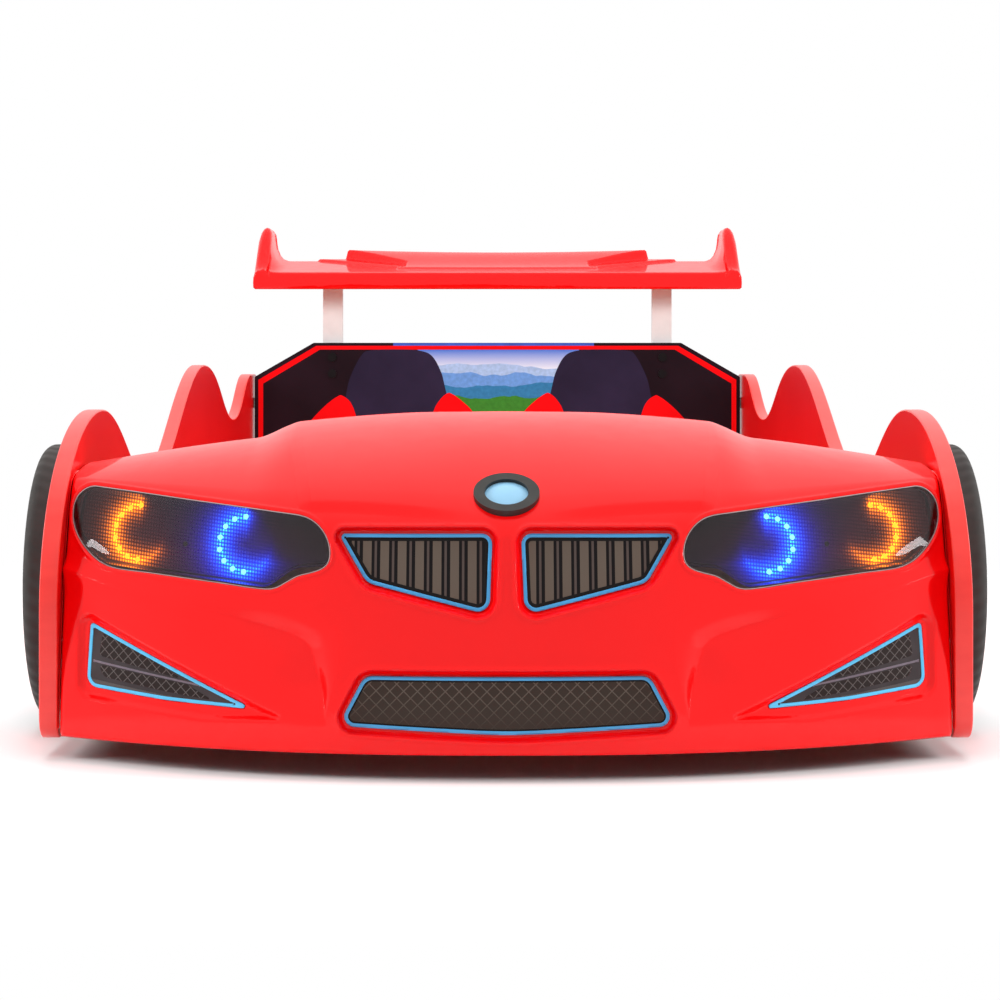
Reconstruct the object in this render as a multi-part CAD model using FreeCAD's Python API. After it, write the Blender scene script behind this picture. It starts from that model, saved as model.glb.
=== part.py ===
import FreeCAD, Part
import math
import os

# A child's bed in the shape of a low sports car. All sizes are in millimetres.
# Build frame: x across the bed, y back from the side panels' front edge, z up from the floor.
# "left" is the side of negative x, which is on the left of somebody who looks at the bonnet.
# At the end everything is shifted along y, so that y = 0 is the middle of the bed's length.

V = FreeCAD.Vector
X = V(1, 0, 0)
Y = V(0, 1, 0)
Z = V(0, 0, 1)

# ---------------------------------------------------------------- mattress space and boards
mattress_width = 900.0
mattress_length = 1900.0
mattress_side_gap = 10.0
mattress_end_gap = 6.0
panel_thickness = 19.0
board_thickness = 18.0
foot_height = 20.0
foot_length = 60.0
foot_inset = 170.0
board_floor_gap = 30.0

# ---------------------------------------------------------------- side panel outline
front_edge_height = 150.0
panel_foot_radius = 25.0
hump_place = 297.0
hump_height = 355.0
hump_front_steepness = 100.0
hump_top_length = 190.0
dip_place = 700.0
dip_height = 250.0
fin_place = 1301.0
fin_height = 409.0
valley_to_headboard = 340.0
valley_height = 316.0
tail_rise_to_headboard = 30.0
tail_height = 394.0
tail_length = 82.0
tail_radius = 50.0
wave_ease = 0.38
wave_hold = 0.50

# ---------------------------------------------------------------- front shell (bonnet and bumper)
shell_side_gap = 2.0
shell_wall = 3.0
shell_bottom = 24.0
shell_flange_depth = 30.0
shell_flange_gap = 2.0
flange_screw_heights = (60.0, 120.0, 180.0)
hood_rear = 170.0
hood_peak_height = 355.0
hood_side_height = 298.0
dome_half_width = 222.0
dome_sag = 12.0
dome_step = 13.0
dome_step_width = 50.0
hood_side_power = 1.3
brow_reach = 102.0
brow_height = 252.0
brow_side_set_back = 74.0
brow_side_height = 284.0
sweep_start = 165.0
sweep_softness = 90.0
nose_reach = 135.0
nose_bow_power = 2.35
nose_proud = 22.0
crown_reach = 0.43
crown_rise = 0.82
cheek_reach = 0.62
cheek_drop = 0.30
chin_rise = 0.28
cheek_depth = 9.0
cheek_width = 13.0
cheek_centre = 176.0
cheek_height = 122.0
cheek_length = 42.0

# ---------------------------------------------------------------- openings in the shell
pocket_depth = 10.0
pocket_margin = 7.0
inlay_thickness = 1.2
glue_gap = 0.1
lens_thickness = 2.5
lens_overlap = 6.0
housing_depth = 25.0
housing_wall = 2.0
housing_gap = 0.3

# ---------------------------------------------------------------- lamps
strip_width = 9.0
strip_thickness = 1.6
arc_radius = 27.0
amber_inset = 79.0
amber_height = 232.0
blue_inset = 194.0
blue_height = 224.0
led_count = 8
led_radius = 2.5
led_length = 4.0

# ---------------------------------------------------------------- badge
badge_height = 275.5
badge_radius = 33.0
badge_ring_width = 11.0
badge_ring_thickness = 4.0
badge_disc_thickness = 3.0
badge_gap = 0.1

# ---------------------------------------------------------------- headboard, wing and posts
headboard_side_gap = 3.0
headboard_top = 453.0
headboard_top_half = 346.0
headboard_shoulder = 389.0
wing_overhang = 50.0
wing_depth = 175.0
wing_bottom = 551.0
wing_lip = 32.0
wing_rise = 30.0
wing_rear_edge = 14.0
wing_belly = 15.0
wing_half_span = 445.0
deck_half_span = 287.0
deck_start = 55.0
deck_rise = 18.0
deck_root = 3.0
endplate_height = 122.0
endplate_tip_lean = 17.0
endplate_thickness = 8.0
endplate_root = 52.0
endplate_bulge = 4.0
endplate_step = 7.0
endplate_peak = 0.55
post_place = 311.0
post_width = 37.0
post_bottom = 330.0
post_socket_depth = 12.0
post_clearance = 0.15
bolt_upper = 426.0
bolt_lower = 395.0
bolt_radius = 3.0
bolt_head_radius = 8.0
bolt_head_height = 3.0
nut_radius = 5.8
nut_height = 5.0
bolt_clearance = 0.1

# ---------------------------------------------------------------- slatted base
slat_top = 156.0
slat_thickness = 16.0
slat_width = 110.0
slat_count = 10
rail_width = 22.0
rail_height = 40.0
rail_end_gap = 1.0
beam_width = 50.0
leg_width = 45.0
leg_places = (700.0, 1500.0)

# ---------------------------------------------------------------- wheels
wheel_radius = 157.0
wheel_width = 46.0
wheel_floor_gap = 1.0
wheel_shoulder = 12.0
rim_radius = 108.0
rim_gap = 0.1
rim_lip = 9.0
rim_inset = 4.0
rim_back_thickness = 4.0
spoke_count = 5
spoke_width = 26.0
spoke_thickness = 14.0
hub_radius = 30.0
hub_recess = 6.0
hub_cap_radius = 27.0
hub_cap_thickness = 5.0
front_wheel_place = 300.0
rear_wheel_to_tail = 350.0
wheel_screw_circle = 17.0
wheel_screw_count = 3
wheel_screw_grip = 12.0

# ---------------------------------------------------------------- screws and corner brackets
screw_radius = 2.0
screw_head_radius = 4.0
screw_head_height = 2.4
screw_clearance = 0.1
wood_screw_length = 16.0
slat_screw_length = 35.0
bracket_leg = 40.0
bracket_width = 20.0
bracket_thickness = 2.0
bracket_holes = (14.0, 31.0)
panel_bracket_heights = (80.0, 230.0)
headboard_bracket_heights = (100.0, 340.0)

# ---------------------------------------------------------------- light control box
box_place = 125.0
box_below_peak = 50.0
box_width = 110.0
box_tall = 48.0
box_depth = 40.0
box_wall = 2.5
lid_thickness = 2.5
spigot_width = 30.0
spigot_tall = 38.0
spigot_gap = 0.3
spigot_proud = 1.5
rocker_width = 20.0
rocker_tall = 25.0
rocker_proud = 8.0
rocker_back = 6.0
rocker_side_gap = 0.2
rocker_end_gap = 0.8
rocker_tilt = 10.0
rocker_dish = 2.5
rocker_pivot_depth = 6.5
trunnion_radius = 2.0
trunnion_length = 3.0
trunnion_clearance = 0.05
inlet_radius = 6.0
inlet_bore = 2.75
inlet_pin = 1.0
inlet_length = 14.0
inlet_flange = 1.5
inlet_gap = 0.05
inlet_offset = 35.0
cable_radius = 2.5
cable_gap = 0.1
cable_clear = 9.0
cable_bend = 45.0
clip_width = 8.0
clip_wall = 2.0
clip_places = (-240.0, -120.0, 0.0, 230.0)
lead_entry_inset = 130.0
lead_entry_height = 222.0
lead_sweep = 60.0
lead_drop_ahead = 45.0

# ---------------------------------------------------------------- places that follow from them
inner_half = mattress_width / 2 + mattress_side_gap
outer_half = inner_half + panel_thickness
shell_half = inner_half - shell_side_gap
bulkhead_rear = hood_rear - 2.0
bulkhead_front = bulkhead_rear - board_thickness
headboard_front = bulkhead_rear + mattress_length + 2 * mattress_end_gap
headboard_rear = headboard_front + board_thickness
panel_length = headboard_rear + tail_length
valley_place = headboard_front - valley_to_headboard
tail_top_place = headboard_front - tail_rise_to_headboard
rail_top = slat_top - slat_thickness
rail_bottom = rail_top - rail_height
post_top = wing_bottom + wing_belly + post_socket_depth
wing_front = headboard_front - wing_overhang
wing_rear = wing_front + wing_depth
rear_wheel_place = panel_length - rear_wheel_to_tail
box_height_mid = hood_peak_height - box_below_peak
FAR = 600.0

nodes = {}
wood_screws = []
slat_screws = []


# ================================================================ general helpers

def box(x_span, y_span, z_span):
    low = V(min(x_span), min(y_span), min(z_span))
    high = V(max(x_span), max(y_span), max(z_span))
    size = high - low
    return Part.makeBox(size.x, size.y, size.z, low)


def rod(start, direction, length, radius):
    return Part.makeCylinder(radius, length, start, direction)


def mirrored(shape):
    return shape.mirror(V(0, 0, 0), X)


def rounded_path(points, radii, closed):
    """Straight runs joined by tangent arcs; a radius of 0 leaves a sharp corner."""
    count = len(points)
    joints = []
    for index, point in enumerate(points):
        end_of_open_path = not closed and index in (0, count - 1)
        if end_of_open_path or radii[index] == 0:
            joints.append((point, None, point))
            continue
        to_last = (points[index - 1] - point).normalize()
        to_next = (points[(index + 1) % count] - point).normalize()
        half_angle = to_last.getAngle(to_next) / 2
        reach = radii[index] / math.tan(half_angle)
        bisector = (to_last + to_next).normalize()
        middle = point + bisector * (radii[index] / math.sin(half_angle) - radii[index])
        joints.append((point + to_last * reach, middle, point + to_next * reach))
    edges = []
    for index in range(count if closed else count - 1):
        start = joints[index][2]
        end = joints[(index + 1) % count][0]
        if start.distanceToPoint(end) > 1e-6:
            edges.append(Part.LineSegment(start, end).toShape())
        arc = joints[(index + 1) % count]
        if arc[1] is not None:
            edges.append(Part.Arc(arc[0], arc[1], arc[2]).toShape())
    return Part.Wire(edges)


def outline_xz(corners, grow=0.0):
    """Closed wire in the front view from (x, z, radius) corners, grown outwards by grow."""
    points = [V(x, 0, z) for x, z, radius in corners]
    wire = rounded_path(points, [corner[2] for corner in corners], True)
    if grow:
        wire = wire.makeOffset2D(grow)
    return wire


def prism_y(wire, low, high):
    solid = Part.Face(wire).extrude(V(0, high - low, 0))
    solid.translate(V(0, low, 0))
    return solid


def prism_x(corners, low, high):
    """Prism along x from (y, z, radius) corners."""
    points = [V(low, y, z) for y, z, radius in corners]
    wire = rounded_path(points, [corner[2] for corner in corners], True)
    return Part.Face(wire).extrude(V(high - low, 0, 0))


def add(name, shape):
    nodes[name] = shape


def add_pair(name, left_shape):
    add(name + "_left", left_shape)
    add(name + "_right", mirrored(left_shape))


# ================================================================ screws and brackets

def screw(seat, direction, length):
    head = rod(seat - direction * screw_head_height, direction, screw_head_height, screw_head_radius)
    shank = rod(seat, direction, length, screw_radius)
    return head.fuse(shank)


def screw_hole(seat, direction, length):
    """Room for the shank, and for the head where it is sunk below the face."""
    shank = rod(seat, direction, length + screw_clearance, screw_radius + screw_clearance)
    head = rod(seat - direction * (screw_head_height + screw_clearance), direction,
               screw_head_height + screw_clearance, screw_head_radius + screw_clearance)
    return shank.fuse(head)


def drill(shape, screws, length):
    for seat, direction in screws:
        hole = screw_hole(seat, direction, length)
        if shape.BoundBox.intersect(hole.BoundBox):
            shape = shape.cut(hole)
    return shape


def bracket(corner, along_a, along_b):
    """Steel angle with its corner at a point and one leg along each direction; notes its screws."""
    across = along_a.cross(along_b) * (bracket_width / 2)
    low = corner - across
    legs = []
    for along, thick in ((along_a, along_b), (along_b, along_a)):
        high = corner + across + along * bracket_leg + thick * bracket_thickness
        legs.append(box((low.x, high.x), (low.y, high.y), (low.z, high.z)))
    angle = legs[0].fuse(legs[1])
    for along, thick in ((along_a, along_b), (along_b, along_a)):
        for place in bracket_holes:
            seat = corner + along * place + thick * bracket_thickness
            wood_screws.append((seat, thick * -1))
            angle = angle.cut(rod(seat - thick * (2 * bracket_thickness), thick,
                                  4 * bracket_thickness, screw_radius + screw_clearance))
    return angle.removeSplitter()


# ================================================================ side panels

def wave(start_place, start_height, end_place, end_height, hold_start, hold_end):
    """Half a wave with a level tangent at both ends."""
    span = end_place - start_place
    curve = Part.BezierCurve()
    curve.setPoles([
        V(0, start_place, start_height),
        V(0, start_place + hold_start * span, start_height),
        V(0, end_place - hold_end * span, end_height),
        V(0, end_place, end_height),
    ])
    return curve.toShape()


def panel_wire():
    front_rise = Part.BezierCurve()
    front_rise.setPoles([
        V(0, 0, front_edge_height),
        V(0, 0, front_edge_height + hump_front_steepness),
        V(0, hump_place - hump_top_length, hump_height),
        V(0, hump_place, hump_height),
    ])
    waves = [
        wave(hump_place, hump_height, dip_place, dip_height, wave_ease, wave_ease),
        wave(dip_place, dip_height, fin_place, fin_height, wave_ease, wave_ease),
        wave(fin_place, fin_height, valley_place, valley_height, wave_hold, wave_ease),
        wave(valley_place, valley_height, tail_top_place, tail_height, wave_hold, wave_ease),
    ]
    rest_corners = [
        V(0, tail_top_place, tail_height),
        V(0, panel_length, tail_height),
        V(0, panel_length, foot_height),
        V(0, 0, foot_height),
        V(0, 0, front_edge_height),
    ]
    radii = [0, tail_radius, panel_foot_radius, panel_foot_radius, 0]
    rest = rounded_path(rest_corners, radii, False)
    return Part.Wire([front_rise.toShape()] + waves + rest.Edges)


def side_panel():
    face = Part.Face(panel_wire())
    panel = face.extrude(V(panel_thickness, 0, 0))
    panel.translate(V(-outer_half, 0, 0))
    return panel


# ================================================================ front shell

def ramp(side):
    """0 on the centre line and 1 at the shell's edge: level over the nose, then a steady sweep."""
    def soft(distance):
        beyond = distance - sweep_start
        return 0.5 * (beyond + math.hypot(beyond, sweep_softness))
    return (soft(side) - soft(0)) / (soft(shell_half) - soft(0))


def smooth_step(value):
    value = max(0.0, min(1.0, value))
    return value * value * (3 - 2 * value)


def hood_rear_height(side):
    """The arch of the bonnet's rear edge: a central dome, a step beside it, then a steady fall."""
    if side <= dome_half_width:
        return hood_peak_height - dome_sag * (side / dome_half_width) ** 2
    beyond = side - dome_half_width
    shoulder = hood_peak_height - dome_sag - dome_step * smooth_step(beyond / dome_step_width)
    fall = hood_peak_height - dome_sag - dome_step - hood_side_height
    share = beyond / (shell_half - dome_half_width)
    return shoulder - fall * share ** hood_side_power


def blend(points, weights):
    return tuple(sum(w * p[axis] for w, p in zip(weights, points)) for axis in (0, 1))


def quadratic(points, t):
    return blend(points, ((1 - t) ** 2, 2 * t * (1 - t), t * t))


def cubic(points, t):
    return blend(points, ((1 - t) ** 3, 3 * t * (1 - t) ** 2, 3 * t * t * (1 - t), t ** 3))


def shell_section(x, v):
    """(y, z) on the shell's outside at x; v runs from the bonnet's rear edge (0) to the hem (1)."""
    hood_end = 0.42
    fascia_start = 0.50
    hood_share = 0.86
    fascia_share = 0.08
    side = min(abs(x), shell_half)
    edge = side / shell_half
    sweep = ramp(side)
    rear = (hood_rear, hood_rear_height(side))
    brow = (-brow_reach + (brow_reach + brow_side_set_back) * sweep,
            brow_height + (brow_side_height - brow_height) * sweep)
    crown = (brow[0] + crown_reach * (rear[0] - brow[0]), brow[1] + crown_rise * (rear[1] - brow[1]))
    hem = (-nose_reach * (1 - edge ** nose_bow_power), shell_bottom)
    cheek = (brow[0] + cheek_reach * (hem[0] - brow[0]), brow[1] - cheek_drop * (brow[1] - hem[1]))
    chin = (hem[0] - nose_proud * (1 - edge * edge), hem[1] + chin_rise * (brow[1] - hem[1]))
    hood = (rear, crown, brow)
    fascia = (brow, cheek, chin, hem)
    if v < hood_end:
        return quadratic(hood, hood_share * v / hood_end)
    if v < fascia_start:
        corner = (quadratic(hood, hood_share), brow, cubic(fascia, fascia_share))
        return quadratic(corner, (v - hood_end) / (fascia_start - hood_end))
    return cubic(fascia, fascia_share + (1 - fascia_share) * (v - fascia_start) / (1 - fascia_start))


def cheek_groove(x, z):
    """Depth of the hollow between each corner pod and the middle of the bumper."""
    along = (z - cheek_height) / cheek_length
    centre = cheek_centre - cheek_width * along * along
    across = (abs(x) - centre) / cheek_width
    return cheek_depth * math.exp(-across * across - along ** 4)


def shell_point(x, v, inset):
    """A point of the shell, moved inwards by inset square to the section's own line."""
    step = 0.002
    y, z = shell_section(x, v)
    y_before, z_before = shell_section(x, max(0.0, v - step))
    y_after, z_after = shell_section(x, min(1.0, v + step))
    run = math.hypot(y_after - y_before, z_after - z_before)
    inward_y = -(z_after - z_before) / run
    inward_z = (y_after - y_before) / run
    return V(x, y + cheek_groove(x, z) + inset * inward_y, z + inset * inward_z)


def shell_surface(inset):
    columns = 49
    rows = 27
    grid = []
    for column in range(columns):
        x = shell_half * (2 * column / (columns - 1) - 1)
        grid.append([shell_point(x, row / (rows - 1), inset) for row in range(rows)])
    surface = Part.BSplineSurface()
    surface.interpolate(grid)
    return surface.toShape()


outer_surface = shell_surface(0.0)


def layer(front, back):
    """The space between two copies of the shell's outside, front and back mm behind it along y."""
    face = outer_surface.copy()
    face.translate(V(0, front, 0))
    return face.extrude(V(0, back - front, 0))


def front_y(x, z):
    """y of the shell's outside in front of a point; the section only falls as v grows."""
    low = 0.0
    high = 1.0
    for halving in range(30):
        middle = (low + high) / 2
        if shell_section(x, middle)[1] > z:
            low = middle
        else:
            high = middle
    return shell_section(x, low)[0] + cheek_groove(x, z)


def shell_skin():
    inner_surface = shell_surface(shell_wall)
    faces = [outer_surface, inner_surface]
    for outer_edge, inner_edge in zip(outer_surface.Edges, inner_surface.Edges):
        faces.append(Part.makeRuledSurface(outer_edge, inner_edge))
    skin = Part.Shell(faces)
    skin.sewShape()
    return Part.Solid(Part.Shell(skin.Faces))


# Outlines in the front view, as (x, z, corner radius); the left-hand ones are mirrored later.
lens_outline = [
    (-shell_half + 11, 282, 18), (-shell_half + 5, 228, 24), (-shell_half + 43, 197, 36),
    (-236, 180, 24), (-208, 200, 30), (-171, 203, 11), (-178, 255, 22),
]
upper_grille_outline = [(-167, 238, 4), (-14, 239, 10), (-17, 161, 12), (-138, 191, 18)]
lower_grille_outline = [
    (-139, 102, 14), (139, 102, 14), (165, 53, 10), (0, 45, 600), (-165, 53, 10),
]
side_intake_outline = [
    (-shell_half + 32, 142, 3), (-249, 66, 2), (-340, 70, 200), (-shell_half + 30, 78, 12),
]


def pocket_tray(outline):
    """The blind recess that the shell is drawn into behind a grille."""
    block = layer(shell_wall / 3, pocket_depth + shell_wall)
    return block.common(prism_y(outline_xz(outline, pocket_margin + shell_wall), -FAR, FAR))


def pocket_cut(outline):
    return layer(-pocket_depth, pocket_depth).common(
        prism_y(outline_xz(outline, pocket_margin), -FAR, FAR))


def side_flange():
    slab = box((-shell_half, -shell_half + shell_wall), (-FAR, bulkhead_front - shell_flange_gap),
               (0, FAR))
    return layer(shell_wall / 3, shell_flange_depth).common(slab)


def flange_screws():
    """Screws through the shell's side flange into the panel, from inside."""
    screws = []
    for height in flange_screw_heights:
        place = front_y(shell_half, height) + shell_flange_depth / 2
        screws.append((V(-shell_half + shell_wall, place, height), X * -1))
    return screws


def front_shell():
    shell = shell_skin()
    trays = [pocket_tray(upper_grille_outline), pocket_tray(side_intake_outline), side_flange()]
    cuts = [pocket_cut(upper_grille_outline), pocket_cut(side_intake_outline),
            prism_y(outline_xz(lens_outline, -lens_overlap), -FAR, bulkhead_front)]
    trays += [mirrored(tray) for tray in trays]
    cuts += [mirrored(cut) for cut in cuts]
    trays.append(pocket_tray(lower_grille_outline))
    cuts.append(pocket_cut(lower_grille_outline))
    for tray in trays:
        shell = shell.fuse(tray)
    for cut in cuts:
        shell = shell.cut(cut)
    return shell


def inlay(outline):
    """A printed plate that is glued to a recess's floor."""
    back = pocket_depth - glue_gap
    return layer(back - inlay_thickness, back).common(prism_y(outline_xz(outline), -FAR, FAR))


# ================================================================ lamps

def lens():
    return layer(-lens_thickness, -glue_gap).common(prism_y(outline_xz(lens_outline), -FAR, FAR))


def cable_end():
    """Where the lead enters the left housing: behind the lens's middle."""
    x = -shell_half + lead_entry_inset
    place = front_y(x, lead_entry_height) + housing_depth + housing_wall / 2
    return V(x, place, lead_entry_height)


def lamp_housing():
    """A tray behind the lens, open to the front, whose rim follows the shell's inside."""
    outer = layer(0, housing_depth + housing_wall)
    tray = outer.common(prism_y(outline_xz(lens_outline, -lens_overlap + housing_wall), -FAR, FAR))
    tray = tray.common(shell_surface(shell_wall + housing_gap).extrude(V(0, FAR, 0)))
    hollow = layer(0, housing_depth).common(
        prism_y(outline_xz(lens_outline, -lens_overlap), -FAR, FAR))
    end = cable_end()
    grommet = rod(V(end.x, end.y - housing_depth, end.z), Y, 2 * housing_depth,
                  cable_radius + cable_gap)
    return tray.cut(hollow).cut(grommet)


def strip_sector(centre_x, centre_z):
    """Half a ring, open towards the middle of the bed."""
    outer_radius = arc_radius + strip_width / 2
    inner_radius = arc_radius - strip_width / 2
    past_half = math.radians(8)

    def at(radius, angle):
        return V(centre_x + radius * math.cos(angle), 0, centre_z + radius * math.sin(angle))
    start = math.pi / 2 - past_half
    end = 3 * math.pi / 2 + past_half
    edges = [
        Part.Arc(at(outer_radius, start), at(outer_radius, math.pi), at(outer_radius, end)).toShape(),
        Part.LineSegment(at(outer_radius, end), at(inner_radius, end)).toShape(),
        Part.Arc(at(inner_radius, end), at(inner_radius, math.pi), at(inner_radius, start)).toShape(),
        Part.LineSegment(at(inner_radius, start), at(outer_radius, start)).toShape(),
    ]
    return Part.Wire(edges)


def led_strip(centre_x, centre_z):
    back = housing_depth - glue_gap
    return layer(back - strip_thickness, back).common(
        prism_y(strip_sector(centre_x, centre_z), -FAR, FAR))


def leds(centre_x, centre_z):
    """Eight small lamps, evenly spaced along the strip."""
    back = housing_depth - 2 * glue_gap - strip_thickness
    film = layer(back - led_length, back)
    lamps = []
    for index in range(led_count):
        angle = math.pi / 2 + math.pi * index / (led_count - 1)
        start = V(centre_x + arc_radius * math.cos(angle), -FAR,
                  centre_z + arc_radius * math.sin(angle))
        lamps.append(film.common(rod(start, Y, 2 * FAR, led_radius)))
    return lamps


# ================================================================ badge

def badge_parts():
    """A plain ring with a plain domed disc in it, square to the bonnet."""
    centre = V(0, front_y(0, badge_height), badge_height)
    ahead = front_y(0, badge_height - 5)
    behind = front_y(0, badge_height + 5)
    outward = V(0, -10, behind - ahead).normalize()
    root = centre - outward * badge_ring_thickness
    hole_radius = badge_radius - badge_ring_width
    reach = 2 * badge_ring_thickness
    shell_side = layer(-badge_gap, FAR / 10)
    ring = rod(root, outward, reach, badge_radius).cut(rod(root, outward, reach, hole_radius))
    disc_top = badge_ring_thickness + badge_disc_thickness
    dome_radius = 4 * hole_radius
    dome = Part.makeSphere(dome_radius, root + outward * (disc_top - dome_radius))
    disc = rod(root, outward, reach, hole_radius - badge_gap).common(dome)
    return ring.cut(shell_side), disc.cut(shell_side)


# ================================================================ cross boards

def bulkhead():
    """The board under the bonnet's rear edge, cut to the arch of the shell's inside."""
    board = box((-inner_half, inner_half), (bulkhead_front, bulkhead_rear),
                (board_floor_gap, hood_peak_height))
    above = shell_surface(shell_wall + glue_gap).extrude(V(0, 0, FAR))
    board = board.cut(above)
    board = max(board.Solids, key=lambda solid: solid.Volume)
    for side in (-1, 1):
        ear = box((side * shell_half, side * inner_half), (bulkhead_front, bulkhead_rear),
                  (hood_side_height - 2 * shell_wall, hood_peak_height))
        board = board.cut(ear)
    half = spigot_width / 2 + spigot_gap
    tall = spigot_tall / 2 + spigot_gap
    window = box((box_place - half, box_place + half), (bulkhead_front, bulkhead_rear),
                 (box_height_mid - tall, box_height_mid + tall))
    return board.cut(window)


def bolt_places():
    places = []
    for x in (-post_place, post_place):
        for height in (bolt_lower, bolt_upper):
            places.append(V(x, headboard_front, height))
    return places


def bolt_holes():
    return [rod(place - Y, Y, FAR, bolt_radius + bolt_clearance) for place in bolt_places()]


def headboard():
    half = inner_half - headboard_side_gap
    corners = [
        (-half, board_floor_gap, 0), (-half, headboard_shoulder, 4),
        (-headboard_top_half, headboard_top, 4), (headboard_top_half, headboard_top, 4),
        (half, headboard_shoulder, 4), (half, board_floor_gap, 0),
    ]
    board = prism_y(outline_xz(corners), headboard_front, headboard_rear)
    for hole in bolt_holes():
        board = board.cut(hole)
    return board


# ================================================================ wing and its posts

def wing_blade():
    """The aerofoil: an upright lip in front, a top that climbs to the rear and a hollowed belly."""
    top_front = wing_bottom + wing_lip
    top_rear = top_front + wing_rise
    corners = [
        (wing_front, wing_bottom, 6), (wing_front, top_front, 8),
        (wing_rear, top_rear, 4), (wing_rear, top_rear - wing_rear_edge, 4),
        (wing_front + wing_depth / 2, wing_bottom + wing_belly, 40),
    ]
    return prism_x(corners, -wing_half_span, wing_half_span)


def wing_deck():
    """The raised middle of the blade."""
    top_front = wing_bottom + wing_lip
    slope = wing_rise / wing_depth
    corners = [
        (wing_front + deck_start, top_front + slope * deck_start - deck_root, 0),
        (wing_rear, top_front + wing_rise + deck_rise, 4),
        (wing_rear, top_front + wing_rise - deck_root, 0),
    ]
    return prism_x(corners, -deck_half_span, deck_half_span)


def endplate():
    """Upright fin at the left end, leaning inwards to its tip."""
    tip = wing_bottom + endplate_height
    outer = -wing_half_span - endplate_thickness
    waist = wing_bottom + endplate_height / 2
    inner = outer + endplate_root
    front_view = [
        (outer, wing_bottom, 4), (outer - endplate_bulge, waist, 80),
        (outer + endplate_tip_lean, tip, 2),
        (outer + endplate_tip_lean + endplate_thickness, tip, 2),
        (outer + endplate_tip_lean + endplate_thickness, waist + endplate_step, 24),
        (inner, waist - endplate_step, 0), (inner, wing_bottom, 0),
    ]
    side_view = [
        (wing_front, wing_bottom, 6), (wing_front, wing_bottom + wing_lip + endplate_step, 14),
        (wing_front + endplate_peak * wing_depth, tip, 30), (wing_rear, tip, 8),
        (wing_rear, wing_bottom + wing_belly, 20),
        (wing_front + wing_depth / 2, wing_bottom + wing_belly, 60),
    ]
    lean = prism_y(outline_xz(front_view), wing_front - FAR, wing_rear + FAR)
    return lean.common(prism_x(side_view, -inner_half - FAR, 0))


def post(grow):
    half = post_width / 2 + grow
    return box((-post_place - half, -post_place + half),
               (headboard_rear - grow, headboard_rear + board_thickness + grow),
               (post_bottom, post_top + grow))


def rear_wing():
    wing = wing_blade().fuse(wing_deck()).fuse(endplate()).fuse(mirrored(endplate()))
    socket = post(post_clearance)
    return wing.cut(socket).cut(mirrored(socket)).removeSplitter()


def wing_post():
    bar = post(0.0)
    for hole in bolt_holes():
        bar = bar.cut(hole)
    return bar


def wing_bolts():
    bolts = []
    grip = 2 * board_thickness + nut_height
    for place in bolt_places():
        head = rod(place - Y * bolt_head_height, Y, bolt_head_height, bolt_head_radius)
        shank = rod(place, Y, grip, bolt_radius)
        nut_start = place + Y * (2 * board_thickness)
        nut = rod(nut_start, Y, nut_height, nut_radius)
        bolts.append(head.fuse(shank).fuse(nut))
    return bolts


# ================================================================ slatted base

def slat_places():
    space = mattress_length + 2 * mattress_end_gap
    pitch = space / slat_count
    return [bulkhead_rear + pitch * (index + 0.5) for index in range(slat_count)]


def slat(place):
    return box((-inner_half, inner_half), (place - slat_width / 2, place + slat_width / 2),
               (rail_top, slat_top))


def side_rail():
    return box((-inner_half, -inner_half + rail_width),
               (bulkhead_rear + rail_end_gap, headboard_front - rail_end_gap),
               (rail_bottom, rail_top))


def note_slat_screws():
    """One screw down through each slat end, and screws through the rails between the slats."""
    sunk = screw_head_height + screw_clearance
    places = slat_places()
    for side in (-1, 1):
        for place in places:
            seat = V(side * (inner_half - rail_width / 2), place, slat_top - sunk)
            slat_screws.append((seat, Z * -1))
        for place, next_place in list(zip(places, places[1:]))[::2]:
            middle = (place + next_place) / 2
            seat = V(side * (inner_half - rail_width + sunk), middle, (rail_bottom + rail_top) / 2)
            slat_screws.append((seat, X * side))


def centre_beam():
    half = beam_width / 2
    return box((-half, half), (bulkhead_rear, headboard_front), (rail_bottom, rail_top))


def support_legs():
    half = leg_width / 2
    return [box((-half, half), (place - half, place + half), (foot_height, rail_bottom))
            for place in leg_places]


def floor_feet():
    """Equal plastic pads under the panels and the legs."""
    half = foot_length / 2
    half_width = panel_thickness / 2
    feet = []
    ends = (foot_inset + half, panel_length / 2, panel_length - foot_inset - half)
    panel_middle = inner_half + half_width
    spots = [(side * panel_middle, place) for side in (-1, 1) for place in ends]
    spots += [(0.0, place) for place in leg_places]
    for x, place in spots:
        feet.append(box((x - half_width, x + half_width), (place - half, place + half),
                        (0, foot_height)))
    return feet


def corner_brackets():
    found = []
    for side in (-1, 1):
        inwards = X * -side
        for height in panel_bracket_heights:
            found.append(bracket(V(side * inner_half, bulkhead_front, height), Y * -1, inwards))
        for height in headboard_bracket_heights:
            found.append(bracket(V(side * inner_half, headboard_rear, height), Y, inwards))
    beam_side = beam_width / 2
    beam_middle = (rail_bottom + rail_top) / 2
    found.append(bracket(V(beam_side, bulkhead_rear, beam_middle), Y, X))
    found.append(bracket(V(beam_side, headboard_front, beam_middle), Y * -1, X))
    for place in leg_places:
        found.append(bracket(V(0, place + leg_width / 2, rail_bottom), Z * -1, Y))
    return found


# ================================================================ wheels

def wheel_centre(side, place):
    return V(side * outer_half, place, wheel_radius + wheel_floor_gap)


def tyre(side, place):
    centre = wheel_centre(side, place)
    ring = rod(centre, X * side, wheel_width, wheel_radius)
    ring = ring.cut(rod(centre, X * side, wheel_width, rim_radius + rim_gap))
    edges = [edge for edge in ring.Edges
             if isinstance(edge.Curve, Part.Circle) and abs(edge.Curve.Radius - wheel_radius) < 1e-6]
    return ring.makeFillet(wheel_shoulder, edges)


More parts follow.
